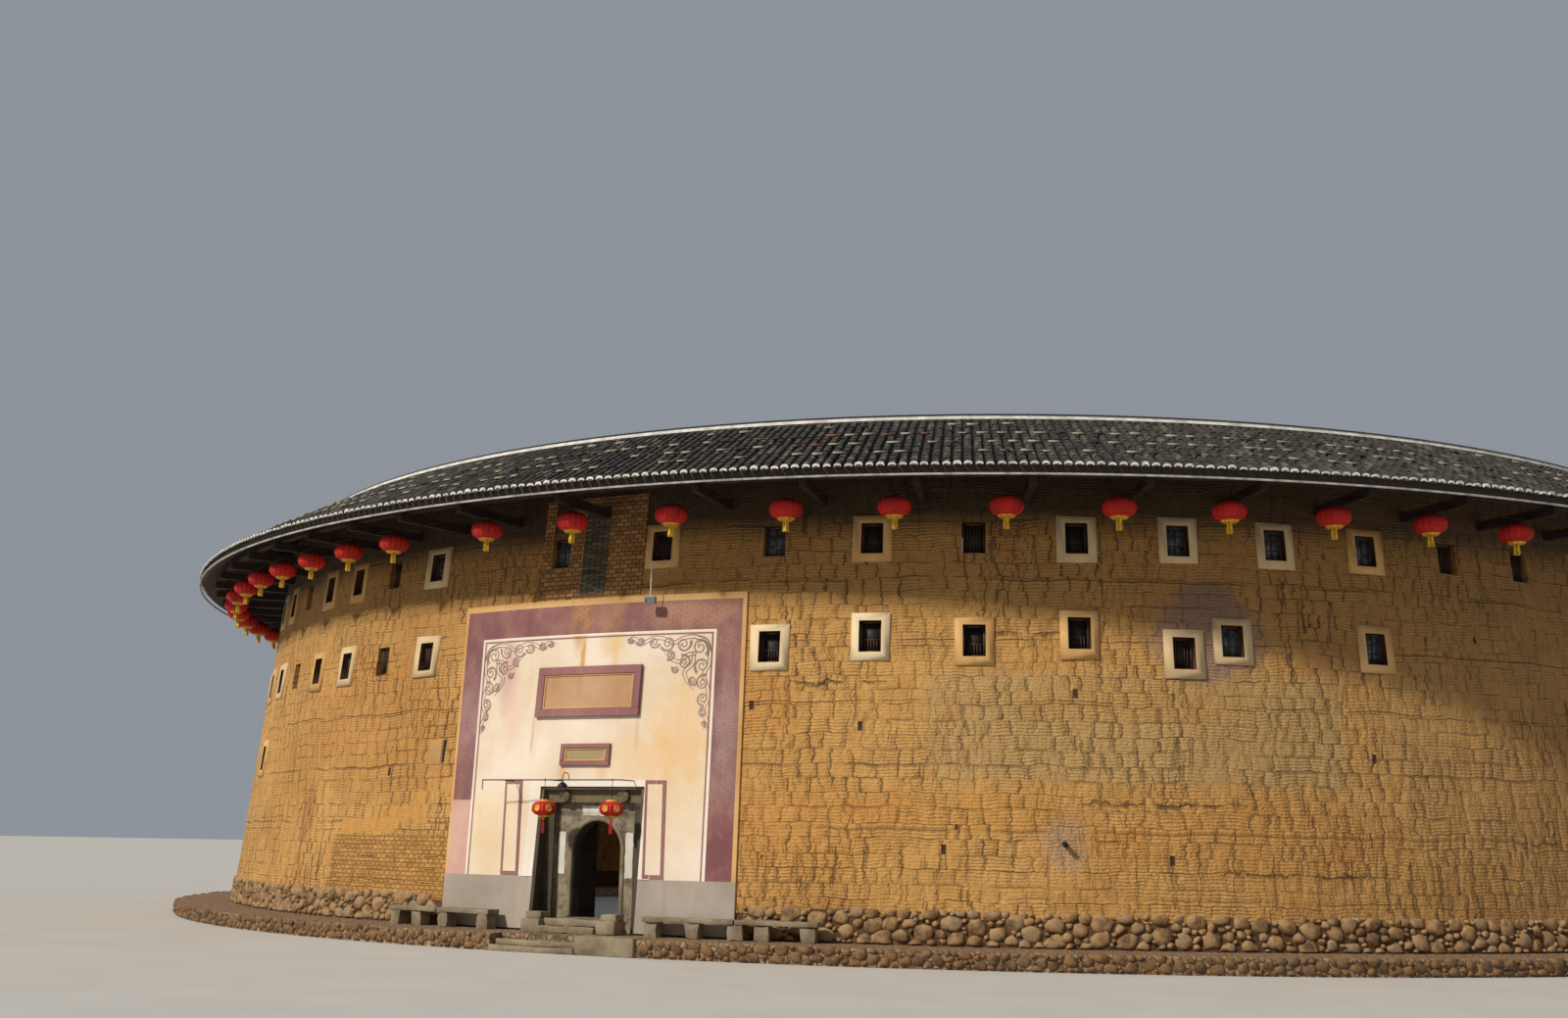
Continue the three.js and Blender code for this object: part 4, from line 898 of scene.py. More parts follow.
def roof():
    """Both slopes with their tiles, the ridge and the eave."""
    roof_boards()
    outer_ridge, inner_ridge = RIDGE_RADIUS + 0.2, RIDGE_RADIUS - 0.2
    slopes = [
        ("", (ROOF_EDGE, outer_under(OUTER_EAVE) + TOP_AT_EAVE),
         (outer_ridge, outer_under(outer_ridge) + TOP_AT_RIDGE), TILE_ROWS, TILE_COURSES),
        ("courtyard_", (INNER_EAVE - 0.02, inner_under(INNER_EAVE) + TOP_AT_EAVE),
         (inner_ridge, inner_under(inner_ridge) + TOP_AT_RIDGE), COURTYARD_ROWS, COURTYARD_COURSES),
    ]
    for i, quarter in enumerate(QUARTERS):
        for side, *slope in slopes:
            rows = tile_rows(i * TURN / 4, *slope)
            make(side + "tile_rows_" + quarter, rows, [TILE], smooth=40, mend=False)
    limed_ends()
    bricks_on_tiles()
    ridge_and_eave()


# Wall and windows
def windows():
    """(azimuth, middle height, storey) of every window. At the back the third storey has fewer."""
    found = []
    for n in range(1, ROOMS_RIGHT + 1):
        a = ENTRANCE_RIGHT + (n - 0.5) * ROOM_RIGHT
        found.append((a, FOURTH_MIDDLE, 4))
        if n not in NO_THIRD_STOREY_WINDOW and not (a > QUARTER_TURN and n % 2 == 0):
            lift = THIRD_STOREY_LIFTS[n - 1] if n <= len(THIRD_STOREY_LIFTS) else 0
            found.append((a, THIRD_MIDDLE + lift, 3))
    for n in range(2, ROOMS_LEFT + 1):
        a = ENTRANCE_LEFT - (n - 0.5) * ROOM_LEFT
        found.append((a, FOURTH_MIDDLE, 4))
        if not (a < -QUARTER_TURN and n % 2 == 0):
            found.append((a, THIRD_MIDDLE, 3))
    found.append((NARROW_ROOM_WINDOW, THIRD_MIDDLE + NARROW_ROOM_LIFT, 3))
    # Two over the entrance, and the only one on the second storey
    return found + [(-3.66, FOURTH_MIDDLE, 4), (3.12, FOURTH_MIDDLE, 4), (-38.4, SECOND_MIDDLE, 2)]


WINDOWS = windows()
SET_IN_BOARD = (-12.35, -11.25, 5.2, 5.95)
PANEL_WITH_MARGIN = (-11.2, 8.9, 10.2)


def uneven(azimuth, z):
    """How far the earth face stands in or out at a place, in metres."""
    left, right, low, high = SET_IN_BOARD
    # The face is even round the board that is set into it.
    if left - 0.7 < azimuth < right + 0.7 and low - 0.4 < z < high + 0.4:
        return 0.0
    a = math.radians(azimuth)
    x, y = FACE_RADIUS * math.sin(a), -FACE_RADIUS * math.cos(a)
    out = -0.012
    for depth, finer, finer_up in ((0.02, 0.25, 0.3), (0.025, 0.9, 1.3), (0.018, 2.6, 3.6)):
        out += depth * noise.noise(Vector((x * finer, y * finer, z * finer_up)))
    return out


def in_openings(rows, columns, door):
    """Which fields of a grid on the wall lie in a window or in the doorway."""
    middle_a, middle_z = (columns[1:] + columns[:-1]) / 2, (rows[1:] + rows[:-1]) / 2
    found = (middle_z < DOORWAY_TOP)[:, None] & (np.abs(middle_a) < door)
    for azimuth, middle, _ in WINDOWS:
        level = np.abs(middle_z - middle) < WINDOW_HEIGHT / 2
        found |= level[:, None] & (np.abs(middle_a - azimuth) < WINDOW_ANGLE)
    return found


def earth_wall():
    """Outer and inner face of the wall, and the sides of its window holes and of the doorway."""
    door = doorway_edge(DOOR_RADIUS_WALL)
    edges = {0.0, -180.0, 180.0, -door, door}
    heights = {FOOTING_TOP - 0.15, DOORWAY_TOP}
    for azimuth, middle, _ in WINDOWS:
        edges |= {azimuth - WINDOW_ANGLE, azimuth + WINDOW_ANGLE}
        heights |= {round(middle - WINDOW_HEIGHT / 2, 4), round(middle + WINDOW_HEIGHT / 2, 4)}
    kept = [-180.0]
    for edge in sorted(edges):
        if kept[-1] + 1e-4 < edge <= 180:
            kept.append(edge)
    heights = sorted(heights)
    columns = np.array(divided(kept, 0.62))
    rows = np.array(divided(heights + [WALL_HEAD], 0.3))
    left, right, top = PANEL_WITH_MARGIN
    still = (rows < top)[:, None] & (columns > left) & (columns < right)
    for azimuth, middle, _ in WINDOWS:
        near_z = np.abs(rows - middle) < WINDOW_HEIGHT / 2 + 0.01
        still |= near_z[:, None] & (np.abs(columns - azimuth) < WINDOW_ANGLE + 0.01)
    out = np.zeros(still.shape)
    for j, i in zip(*np.nonzero(~still)):
        out[j, i] = uneven(columns[i], rows[j])
    out[:, 0] = out[:, -1]
    # The upper end follows the underside of the roof.
    level_eave = EAVE_UNDER + OUTER_EAVE * ROOF_PITCH - TERRACE_TOP
    meeting = (WALL_OUTER - WALL_BATTER * level_eave) / (1 - WALL_BATTER * ROOF_PITCH)
    z = rows[:, None] + 0 * columns
    z[-1] = outer_under(meeting) + 0.05
    shape = Shape()
    faces = grid_faces(*z.shape).reshape(len(rows) - 1, -1, 4)
    shape.add(on_ring(columns, wall_radius(z) + out, z), faces[~in_openings(rows, columns, door)])
    inner_rows = np.array(heights + [outer_under(WALL_INNER) + 0.05])
    z = inner_rows[:, None] + 0 * columns
    faces = grid_faces(*z.shape).reshape(len(inner_rows) - 1, -1, 4)[..., ::-1]
    shape.add(on_ring(columns, WALL_INNER + 0 * z, z), faces[~in_openings(inner_rows, columns, door)])
    # Sides of each window hole, and of the doorway behind the portal
    half = WINDOW_WIDTH / 2
    for azimuth, middle, _ in WINDOWS:
        low, high = middle - WINDOW_HEIGHT / 2, middle + WINDOW_HEIGHT / 2
        front = [(x, -wall_radius(z), z) for x, z in oblong(-half, half, low, high)]
        back = [(x, -WALL_INNER + 0.01, z) for x, _, z in front]
        shape.copies(np.array(front + back), [azimuth], BLOCK_FACES[2:])
    d = DOORWAY_HALF
    outline = ((-d, TERRACE_TOP), (-d, DOORWAY_TOP), (d, DOORWAY_TOP), (d, TERRACE_TOP))
    sides = [(x, y, z) for y in (-FACE_RADIUS, -WALL_INNER + 0.02) for x, z in outline]
    shape.add(sides, BLOCK_FACES[2:5])
    nodes = [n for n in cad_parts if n.startswith("wall_")]
    make("earth_wall", shape, [EARTH], nodes, smooth=50, mend=False)


def patches():
    """Small bricks and flat stones over the doorway, a board set into the wall, and a drain pipe."""
    shape = Shape()
    for sides, heights, lift, thick, mark in (
        ((-5.0, 2.0), (10.12, 11.0), -0.02, 0.035, 0), ((-5.0, -4.3), (11.0, 13.2), -0.02, 0.035, 0),
        ((-3.0, 2.0), (11.0, 13.2), -0.02, 0.034, 0), ((-2.05, -0.4), (10.2, 12.9), 0.0, 0.03, 1),
    ):
        shape.sheet(sides, heights, lift, thick, mark)
    left, right, low, high = SET_IN_BOARD
    shape.sheet((left, right), (low, high), -0.01, 0.03, 2)
    shape.sheet((right + 0.08, right + 0.3), (low + 0.05, high - 0.02), -0.01, 0.014, 3)
    pipe_azimuth, pipe_z = 24.9, 3.15
    outward = np.array([30.7, 30.9, 31.2, 31.34])
    shape.tube(on_ring(pipe_azimuth, outward, pipe_z - np.array([0, 0, 0.02, 0.04])), 0.07, 12, mark=3)
    make("adobe_infill", shape, [ADOBE, FLAT_STONES, EARTH_PLASTER, IRON])


RAILED, BARRED, GLAZED = range(3)
SURROUNDS = {
    # storey: azimuth near which a window is known, the finish of its plaster band and what fills the hole
    3: ((9.8, "cream", RAILED), (15.2, "cream", RAILED), (20.6, "ochre", RAILED), (26.0, "ochre", RAILED),
        (31.4, "white", BARRED), (34.0, "white", GLAZED), (42.2, "ochre", GLAZED), (-13.8, "white", BARRED),
        (-18.4, "none", BARRED), (-22.9, "white", GLAZED), (-27.5, "ochre", BARRED), (-32.0, "none", RAILED),
        (-36.6, "white", GLAZED), (-41.1, "ochre", BARRED)),
    4: ((9.8, "none", GLAZED), (15.2, "ochre", RAILED), (20.6, "none", BARRED), (26.0, "white", RAILED),
        (31.4, "white", GLAZED), (36.8, "white", GLAZED), (42.2, "ochre", GLAZED), (47.6, "none", BARRED),
        (53.0, "none", BARRED), (3.12, "ochre", BARRED), (-3.66, "none", GLAZED), (-13.8, "white", GLAZED),
        (-18.4, "none", BARRED), (-22.9, "ochre", GLAZED), (-27.5, "ochre", BARRED), (-32.0, "none", BARRED),
        (-36.6, "ochre", GLAZED)),
    2: ((-38.4, "ochre", BARRED),),
}


def surround(low, high, side, above, below, wobble):
    """Corners of a plaster band with an uneven outline, which turns into the hole."""
    half, lip = WINDOW_WIDTH / 2, 0.015
    corners = oblong(-half - side, half + side, low - below, high + above) + wobble.reshape(4, 2)
    hole = oblong(-half + lip, half - lip, low + lip, high - lip)
    points = [(x, -(wall_radius(z) + 0.03), z) for x, z in [*corners, *hole]]
    points += [(x, -(wall_radius(z) - 0.05), z) for x, z in corners]
    points += [(x, -(wall_radius(z) - 0.3), z) for x, z in hole]
    return np.array(points)


def window_bars(filling, low, high):
    """Left, right, foot, head and depth of each bar of a window's frame and of what fills it."""
    thick, thin, wide, crossbar = 0.05, 0.03, 0.06, 0.02
    outer = WINDOW_WIDTH / 2 - 0.02
    clear = outer - wide
    foot, head = low + 0.02, high - 0.02
    sill, lintel = foot + wide, head - wide
    bars = [(-outer, -clear, foot, head, thick), (clear, outer, foot, head, thick)]
    bars += [(-clear, clear, foot, sill, thick), (-clear, clear, lintel, head, thick)]
    places = np.linspace(-clear, clear, 7)[1:-1]
    if filling == RAILED:
        rail = low + 0.36
        bars.append((-clear, clear, rail, rail + 0.04, thick))
        bars += [(x - 0.013, x + 0.013, sill, rail, thin) for x in places]
    elif filling == BARRED:
        bars += [(x - 0.014, x + 0.014, sill, lintel, thin) for x in places]
    else:
        bars.append((-crossbar, crossbar, sill, lintel, thick))
        for share in (0.36, 0.66):
            z = low + WINDOW_HEIGHT * share
            bars += [(a, b, z - 0.012, z + 0.012, thin) for a, b in ((-clear, -crossbar), (crossbar, clear))]
    return bars, (-clear, clear, sill, lintel)


def window_pieces():
    """Plaster bands, wooden frames with their bars, glass in the glazed windows, and near-black sheets
    behind the bars of the others, painted shade of the rooms.
    """
    bands, wood, panes_and_shade_sheets = Shape(), Shape(), Shape()
    kinds = ("cream", "ochre", "white", "none")
    band_faces, reveals = [], []
    for i in range(4):
        j = (i + 1) % 4
        band_faces += [(i, j, 4 + j, 4 + i), (8 + i, 8 + j, j, i)]
        reveals.append((4 + i, 4 + j, 12 + j, 12 + i))
    choice = np.random.default_rng(21)
    for azimuth, middle, storey in WINDOWS:
        drawn = choice.random(8)
        kind, filling = kinds[int(drawn[0] * 4)], int(drawn[5] * 3)
        for place, known_band, known_filling in SURROUNDS[storey]:
            if abs(place - azimuth) < 0.6:
                kind, filling = known_band, known_filling
        low, high = middle - WINDOW_HEIGHT / 2, middle + WINDOW_HEIGHT / 2
        if kind != "none":
            side, above, below = 0.2 + 0.06 * drawn[1], 0.16 + 0.06 * drawn[2], 0.18 + 0.08 * drawn[3]
            points = surround(low, high, side, above, below, choice.normal(0, 0.012, 8))
            bands.copies(points, [azimuth], band_faces, mark=kinds.index(kind))
            # The reveals inside the hole take the dark window wood: painted shade of the hole's sides.
            bands.copies(points, [azimuth], reveals, mark=3)
        y = -(wall_radius(middle) - (0.14 + 0.1 * drawn[4]))
        bars, (left, right, sill, lintel) = window_bars(filling, low, high)
        for x0, x1, foot, head, depth in bars:
            wood.block((x0, x1), (y, y + depth), (foot, head), azimuth=azimuth)
        pane = y + 0.035
        # Glazed windows get glass, the others a near-black sheet, painted shade of the room behind.
        panes_and_shade_sheets.block((left, right), (pane, pane + 0.006), (sill, lintel), int(filling != GLAZED), azimuth)
    make("window_surrounds", bands, [CREAM_BAND, OCHRE, TAN_BAND, WINDOW_WOOD], smooth=0)
    make("window_frames", wood, [WINDOW_WOOD], smooth=0)
    make("window_panes_and_shade_sheets", panes_and_shade_sheets, [GLASS, INTERIOR_SHADE_SHEET], smooth=0)


# Stones
STONE_SIDES = 8


def apart(stone, other):
    """Whether two stones leave each other room. Each is its place along, its height and its size."""
    across, upward, sizes = stone[0] - other[0], stone[1] - other[1], stone[2] + other[2]
    return across**2 / 1.35 + upward**2 * 1.25 > (0.47 * sizes) ** 2


def packed_stones(length, low, high, sizes):
    """Places of uneven stones on a strip: big ones first, then smaller ones in what is left."""
    cell = max(sizes)
    buckets, places = {}, []
    for size in sizes:
        tries = int(length * (high - low) / (size * size) * 5)
        across, upward = rng.random(tries) * length, low + (high - low) * rng.random(tries)
        for x, z, stretch in zip(across, upward, rng.random(tries)):
            stone = (x, z, size * (0.85 + 0.3 * stretch))
            column = int(x / cell)
            near = [other for c in (column - 1, column, column + 1) for other in buckets.get(c, ())]
            if all(apart(stone, other) for other in near):
                buckets.setdefault(column, []).append(stone)
                places.append(stone)
    return np.array(places)


def stone_face(radius_at, low, high, sizes, bulge, start, end, gap):
    """Uneven river stones on the face of a ring, each a low irregular dome, with a gap at the doorway."""
    # The dome's crown, then three rings below it
    corners, faces3, faces4 = [(0.0, 0.0, 1.0)], [], []
    for share, out in ((0.6, 0.86), (0.9, 0.5), (1.02, -0.25)):
        for i in range(STONE_SIDES):
            a = 2 * math.pi * i / STONE_SIDES
            corners.append((share * math.cos(a), share * math.sin(a), out))
    for i in range(STONE_SIDES):
        j = (i + 1) % STONE_SIDES
        faces3.append((0, 1 + i, 1 + j))
        for ring in (1, 1 + STONE_SIDES):
            faces4.append((ring + i, ring + STONE_SIDES + i, ring + STONE_SIDES + j, ring + j))
    dome = np.array(corners)
    middle = radius_at((low + high) / 2)
    places = packed_stones(math.radians(end - start) * middle, low, high, sizes)
    azimuths = start + np.degrees(places[:, 0] / middle)
    kept = (azimuths >= gap[1]) & (azimuths <= TURN + gap[0])
    places, azimuths = places[kept], azimuths[kept]
    k = len(places)
    spin = rng.normal(0, 0.35, k)[:, None]
    knobs = 1 + rng.normal(0, 0.13, (k, STONE_SIDES))
    knobs = np.concatenate([np.ones((k, 1)), knobs, knobs, knobs], 1)
    knobs = knobs * (1 + rng.normal(0, 0.03, knobs.shape))
    wide = (places[:, 2] * (0.56 + 0.12 * rng.random(k)))[:, None]
    tall = (places[:, 2] * (0.43 + 0.12 * rng.random(k)))[:, None]
    u, v = dome[:, 0] * knobs * wide, dome[:, 1] * knobs * tall
    x = u * np.cos(spin) - v * np.sin(spin)
    z = np.clip(places[:, 1:2] + u * np.sin(spin) + v * np.cos(spin), low - 0.01, high + 0.07)
    out = dome[:, 2] * bulge * (0.75 + 0.6 * rng.random((k, 1)))
    shape = Shape()
    shape.copies(np.stack([x, -(radius_at(z) + out), z], -1), azimuths, faces3, faces4)
    return shape


def footing_radius(z):
    """Radius of the face on which the footing's stones sit."""
    return wall_radius(z) - 0.03


def edge_radius(z):
    """Radius of the face on which the terrace's edge stones sit."""
    return TERRACE_OUTER - 0.085 + 0 * z


def base():
    """Footing of the wall and edge of the terrace, both of river stones in mud."""
    door = doorway_edge(DOOR_RADIUS_FOOTING)
    inside = WALL_INNER - 0.04
    outside, outside_top = wall_radius(TERRACE_TOP) - 0.02, wall_radius(FOOTING_TOP) - 0.02
    mud_top = FOOTING_TOP + 0.02
    profile = [(inside, TERRACE_TOP), (outside, TERRACE_TOP), (outside_top, mud_top), (inside, mud_top)]
    stones_from, sizes, gap = TERRACE_TOP + 0.05, (0.46, 0.36, 0.27, 0.19, 0.13), (-10.3, 8.9)
    for name, start, end in (("right", 0, TURN / 2), ("left", TURN / 2, TURN)):
        core = Shape()
        core.band(profile, max(start, door), min(end, TURN - door))
        face = stone_face(footing_radius, stones_from, FOOTING_TOP, sizes, 0.1, start, end, gap)
        make("footing_core_" + name, core, [MUD], ["footing_" + name])
        make("footing_stones_" + name, face, [STONE], smooth=70, mend=False)
    slab = Shape()
    for outer, slant, start, end in (
        (TERRACE_OUTER - 0.07, 0.05, STEPS_RIGHT, TURN + STEPS_LEFT),
        (NOTCH_RADIUS, 0.0, STEPS_LEFT, STEPS_RIGHT),
    ):
        profile = [(TERRACE_INNER, 0.0), (outer, 0.0), (outer, TERRACE_TOP - 0.03)]
        profile += [(outer - slant, TERRACE_TOP), (TERRACE_INNER, TERRACE_TOP)]
        slab.band(profile, start, end)
    make("terrace", slab, [PAVING], ["terrace_right", "terrace_left"])
    sizes, gap = (0.3, 0.22, 0.16, 0.11), (STEPS_LEFT - 0.3, STEPS_RIGHT + 0.3)
    edge = stone_face(edge_radius, 0.06, TERRACE_TOP - 0.05, sizes, 0.08, 0, TURN, gap)
    make("terrace_edge_stones", edge, [EDGE_STONE], smooth=70, mend=False)


# Plaster panel
DADO, PINK_TOP, LINE, LINE_TOP, MAUVE_TOP = 1.95, 4.11, 8.93, 8.98, 9.86
PANEL_ROWS = [0.5, DADO, PINK_TOP, DOORWAY_TOP, LINE, LINE_TOP, MAUVE_TOP, 10.05]
# Azimuths at a height of 1 m and at 10 m: outer edge, border, mauve band and white line
PANEL_LEFT = [(-9.46, -10.45), (-9.3, -10.25), (-7.9, -8.85), (-7.78, -8.73)]
PANEL_RIGHT = [(8.65, 8.42), (8.42, 8.2), (6.99, 6.76), (6.87, 6.64)]
LINE_LEFT, LINE_RIGHT = PANEL_LEFT[-1], PANEL_RIGHT[-1]
# Columns of the panel's grid at the doorway's two sides, and the last one
DOOR_FROM, DOOR_TO, LAST = 9, 15, 24


def at_height(pair, z):
    return pair[0] + (pair[1] - pair[0]) * (z - 1.0) / 9.0


def panel_mark(middle, i):
    """The paint of a field of the panel's grid: cream 0, mauve 1, pink 2, cement 3, ochre 4, white 5."""
    if middle < DADO:
        return 3
    if middle > MAUVE_TOP or i in (0, LAST - 1):
        return 4
    if i in (1, LAST - 2) or middle > LINE_TOP:
        return 2 if i == 1 and middle < PINK_TOP else 1
    return 5 if i in (2, LAST - 3) or middle > LINE else 0


def panel():
    """The painted panel: dado, cream field with a thin line round it, mauve band and ochre border."""
    door = doorway_edge(FACE_RADIUS)
    rows = divided(PANEL_ROWS, 0.6)
    table = []
    for z in rows:
        left = [at_height(pair, z) for pair in PANEL_LEFT]
        right = [at_height(pair, z) for pair in reversed(PANEL_RIGHT)]
        span = left[:-1]
        for a, b in ((left[-1], -door), (-door, door), (door, right[0])):
            span += list(np.linspace(a, b, 7))[:-1]
        table.append(span + right)
    table = np.array(table)
    z = np.array(rows)[:, None] + 0 * table
    front = on_ring(table, wall_radius(z) + PANEL_DEPTH, z)
    back = on_ring(table, wall_radius(z) - 0.02, z)
    faces = grid_faces(*table.shape).reshape(len(rows) - 1, LAST, 4)
    groups = {}
    for j, (a, b) in enumerate(zip(rows[:-1], rows[1:])):
        middle = (a + b) / 2
        for i in range(LAST):
            if not (DOOR_FROM <= i < DOOR_TO and middle < DOORWAY_TOP):
                groups.setdefault(panel_mark(middle, i), []).append(faces[j, i])
    shape = Shape()
    for mark, chosen in groups.items():
        shape.add(front, chosen, mark=mark)
    # Rims: outer edges and the doorway's edges go back to the wall.
    top = len(rows) - 1
    lintel = sum(z <= DOORWAY_TOP + 1e-6 for z in rows) - 1
    for js, i, mark in (
        (slice(None), 0, 4), (slice(None, None, -1), LAST, 4), (top, slice(None), 4),
        (slice(lintel, None, -1), DOOR_FROM, 0), (slice(0, lintel + 1), DOOR_TO, 0),
        (lintel, slice(DOOR_TO, DOOR_FROM - 1, -1), 0),
    ):
        edge, edge_back = front[js, i], back[js, i]
        k = len(edge)
        quads = [(n, n + 1, k + n + 1, k + n) for n in range(k - 1)]
        shape.add(np.concatenate([edge, edge_back]), quads, mark=mark)
    paints = [CREAM, MAUVE, PINK, GREY_CEMENT, OCHRE, WHITE_LINE]
    make("painted_panel", shape, paints, ["plaster_panel"])


def panel_trim():
    """What stands a little off the panel: a thin line, a pale band round the portal, two upright boards."""
    trim = Shape()
    on = PANEL_DEPTH + 0.002
    # Thin mauve line inside the white one
    width = 0.035
    near, far = degrees_along(width), degrees_along(2 * width)
    line_top = LINE - width
    heights = (DADO, line_top)
    for edge, offsets in ((LINE_LEFT, (near, far)), (LINE_RIGHT, (-far, -near))):
        low, high = [[at_height(edge, z) + offset for offset in offsets] for z in heights]
        trim.sheet(low, heights, on, 0.012, 1, upper_sides=high)
    ends = (at_height(LINE_LEFT, line_top) + near, at_height(LINE_RIGHT, line_top) - near)
    trim.sheet(ends, (line_top - width, line_top), on, 0.012, 1)
    # Pale band round the portal
    inner, outer, top = 1.76, 2.12, 4.68
    for x0, x1, foot in ((-outer, -inner, DADO), (inner, outer, DADO), (-inner, inner, DOORWAY_TOP)):
        trim.sheet((degrees_along(x0), degrees_along(x1)), (foot, top), on, 0.02)
    # Upright boards on both sides, bare inside a mauve border
    for below, above in ((-4.82, -5.18), (4.09, 3.87)):
        for half, heights, thick, mark in ((0.6, (1.97, top), 0.02, 1), (0.43, (2.08, 4.57), 0.028, 2)):
            sides, upper_sides = [(middle - half, middle + half) for middle in (below, above)]
            trim.sheet(sides, heights, on, thick, mark, 0.4, upper_sides)
    make("panel_trim", trim, [WHITE_LINE, FRAME_MAUVE, CREAM])


# Radius of the wall's face at the scrolls and at the name boards
SCROLL_RADIUS, BOARD_RADIUS = 30.7, 30.8


def spiral(centre, radius, turns, start, hand, points=26):
    t = np.linspace(0, 1, points)
    a = start + hand * 2 * math.pi * turns * t
    r = radius * (1 - 0.88 * t)
    return np.stack([centre[0] + r * np.cos(a), centre[1] + r * np.sin(a)], -1)


# Each volute: distance from the corner along the top and down the side, size, start angle, hand
VOLUTES = [
    (0.42, 0.42, 0.24, 2.2, 1), (0.95, 0.32, 0.2, 3.6, -1), (0.34, 0.95, 0.2, 1.0, -1),
    (1.45, 0.28, 0.2, 0.4, 1), (0.3, 1.45, 0.19, 4.2, 1), (1.9, 0.24, 0.15, 2.9, -1),
    (0.26, 1.9, 0.16, 1.5, -1), (2.35, 0.2, 0.12, 0.2, 1), (0.24, 2.3, 0.12, 4.6, 1),
    (0.9, 0.85, 0.18, 5.2, -1), (1.35, 0.62, 0.13, 0.9, 1), (0.62, 1.38, 0.13, 3.0, -1),
    (1.16, 1.05, 0.1, 5.6, 1), (2.68, 0.16, 0.09, 3.2, -1), (0.2, 2.62, 0.08, 1.6, 1),
]
STEMS = [
    [(0.1, 0.62), (0.24, 0.2), (0.62, 0.1), (0.95, 0.12), (1.25, 0.3), (1.62, 0.12), (1.95, 0.1),
     (2.3, 0.28), (2.6, 0.08), (2.82, 0.2)],
    [(0.62, 0.1), (0.2, 0.24), (0.1, 0.62), (0.12, 0.95), (0.3, 1.2), (0.12, 1.6), (0.1, 1.95),
     (0.28, 2.25), (0.08, 2.55), (0.16, 2.78)],
    [(0.55, 0.6), (0.8, 0.62), (1.05, 0.85), (1.3, 0.75), (1.52, 0.5)],
    [(0.6, 0.55), (0.62, 0.9), (0.9, 1.12), (0.78, 1.4), (0.52, 1.62)],
]


def scroll_lines():
    """Lines of one corner's scrolls with their half widths, in metres from the corner."""
    lines = []
    for along, down, size, start, hand in VOLUTES:
        lines.append((spiral((along, down), size * 1.15, 1.7, start, hand), 0.026))
        lines.append((spiral((along, down), size * 1.42, 0.7, start, hand), 0.015))
    for stem in STEMS:
        stem = np.array(stem)
        t = np.linspace(0, len(stem) - 1, 8 * len(stem))
        smooth = np.stack([np.interp(t, range(len(stem)), stem[:, i]) for i in (0, 1)], -1)
        for _ in range(6):
            smooth[1:-1] = (smooth[:-2] + 2 * smooth[1:-1] + smooth[2:]) / 4
        sideways = np.gradient(smooth, axis=0)[:, ::-1] * (-1, 1)
        sideways *= 0.05 / (np.linalg.norm(sideways, axis=1)[:, None] + 1e-9)
        lines += [(smooth + sideways, 0.017), (smooth - sideways, 0.017)]
    return lines


def scrolls():
    """Painted cloud scrolls in the two upper corners of the cream field."""
    shape = Shape()
    for edge, hand in ((LINE_LEFT, 1), (LINE_RIGHT, -1)):
        for line, width in scroll_lines():
            direction = np.gradient(line, axis=0)
            length = np.linalg.norm(direction, axis=1)[:, None] + 1e-9
            side = direction[:, ::-1] * (-1, 1) / length * width * np.linspace(1, 0.5, len(line))[:, None]
            both = np.stack([line + side, line - side], 1).reshape(-1, 2)
            z = LINE - 0.05 - both[:, 1]
            azimuth = at_height(edge, z) + hand * np.degrees(both[:, 0] / SCROLL_RADIUS)
            shape.add(on_ring(azimuth, wall_radius(z) + PANEL_DEPTH + 0.006, z), grid_faces(len(line), 2))
    make("corner_scrolls", shape, [SCROLL], smooth=0, mend=False)


def frame_bars(left, right, low, high, wide, tall):
    """Sides and heights of the four bars of an oblong frame."""
    inner_low, inner_high = low + tall, high - tall
    return [((left, right), (low, inner_low)), ((left, right), (inner_high, high)),
            ((left, left + wide), (inner_low, inner_high)), ((right - wide, right), (inner_low, inner_high))]


def plaques():
    """A large bare name board and a small one, each in a moulded mauve frame."""
    shape = Shape()
    step = 0.5
    lip = degrees_along(0.06, BOARD_RADIUS)
    for left, right, low, high, width, out, mark in (
        (-4.12, 2.57, 6.52, 8.0, 0.24, 0.11, 2), (-2.13, 1.0, 5.1, 5.73, 0.13, 0.09, 3),
    ):
        w = degrees_along(width, BOARD_RADIUS)
        for sides, heights in frame_bars(left, right, low, high, w, width):
            shape.sheet(sides, heights, PANEL_DEPTH, out, 0, step)
        for sides, heights in frame_bars(left + w, right - w, low + width, high - width, lip, 0.045):
            shape.sheet(sides, heights, PANEL_DEPTH, out - 0.03, 1, step)
        sides, heights = (left + w / 2, right - w / 2), (low + width / 2, high - width / 2)
        shape.sheet(sides, heights, PANEL_DEPTH, out - 0.06, mark, step)
    paints = [FRAME_MAUVE, OCHRE, BOARD_TAN, BOARD_OLIVE]
    make("name_boards", shape, paints, ["name_plaque", "niche_frame"], bevel=0.012)


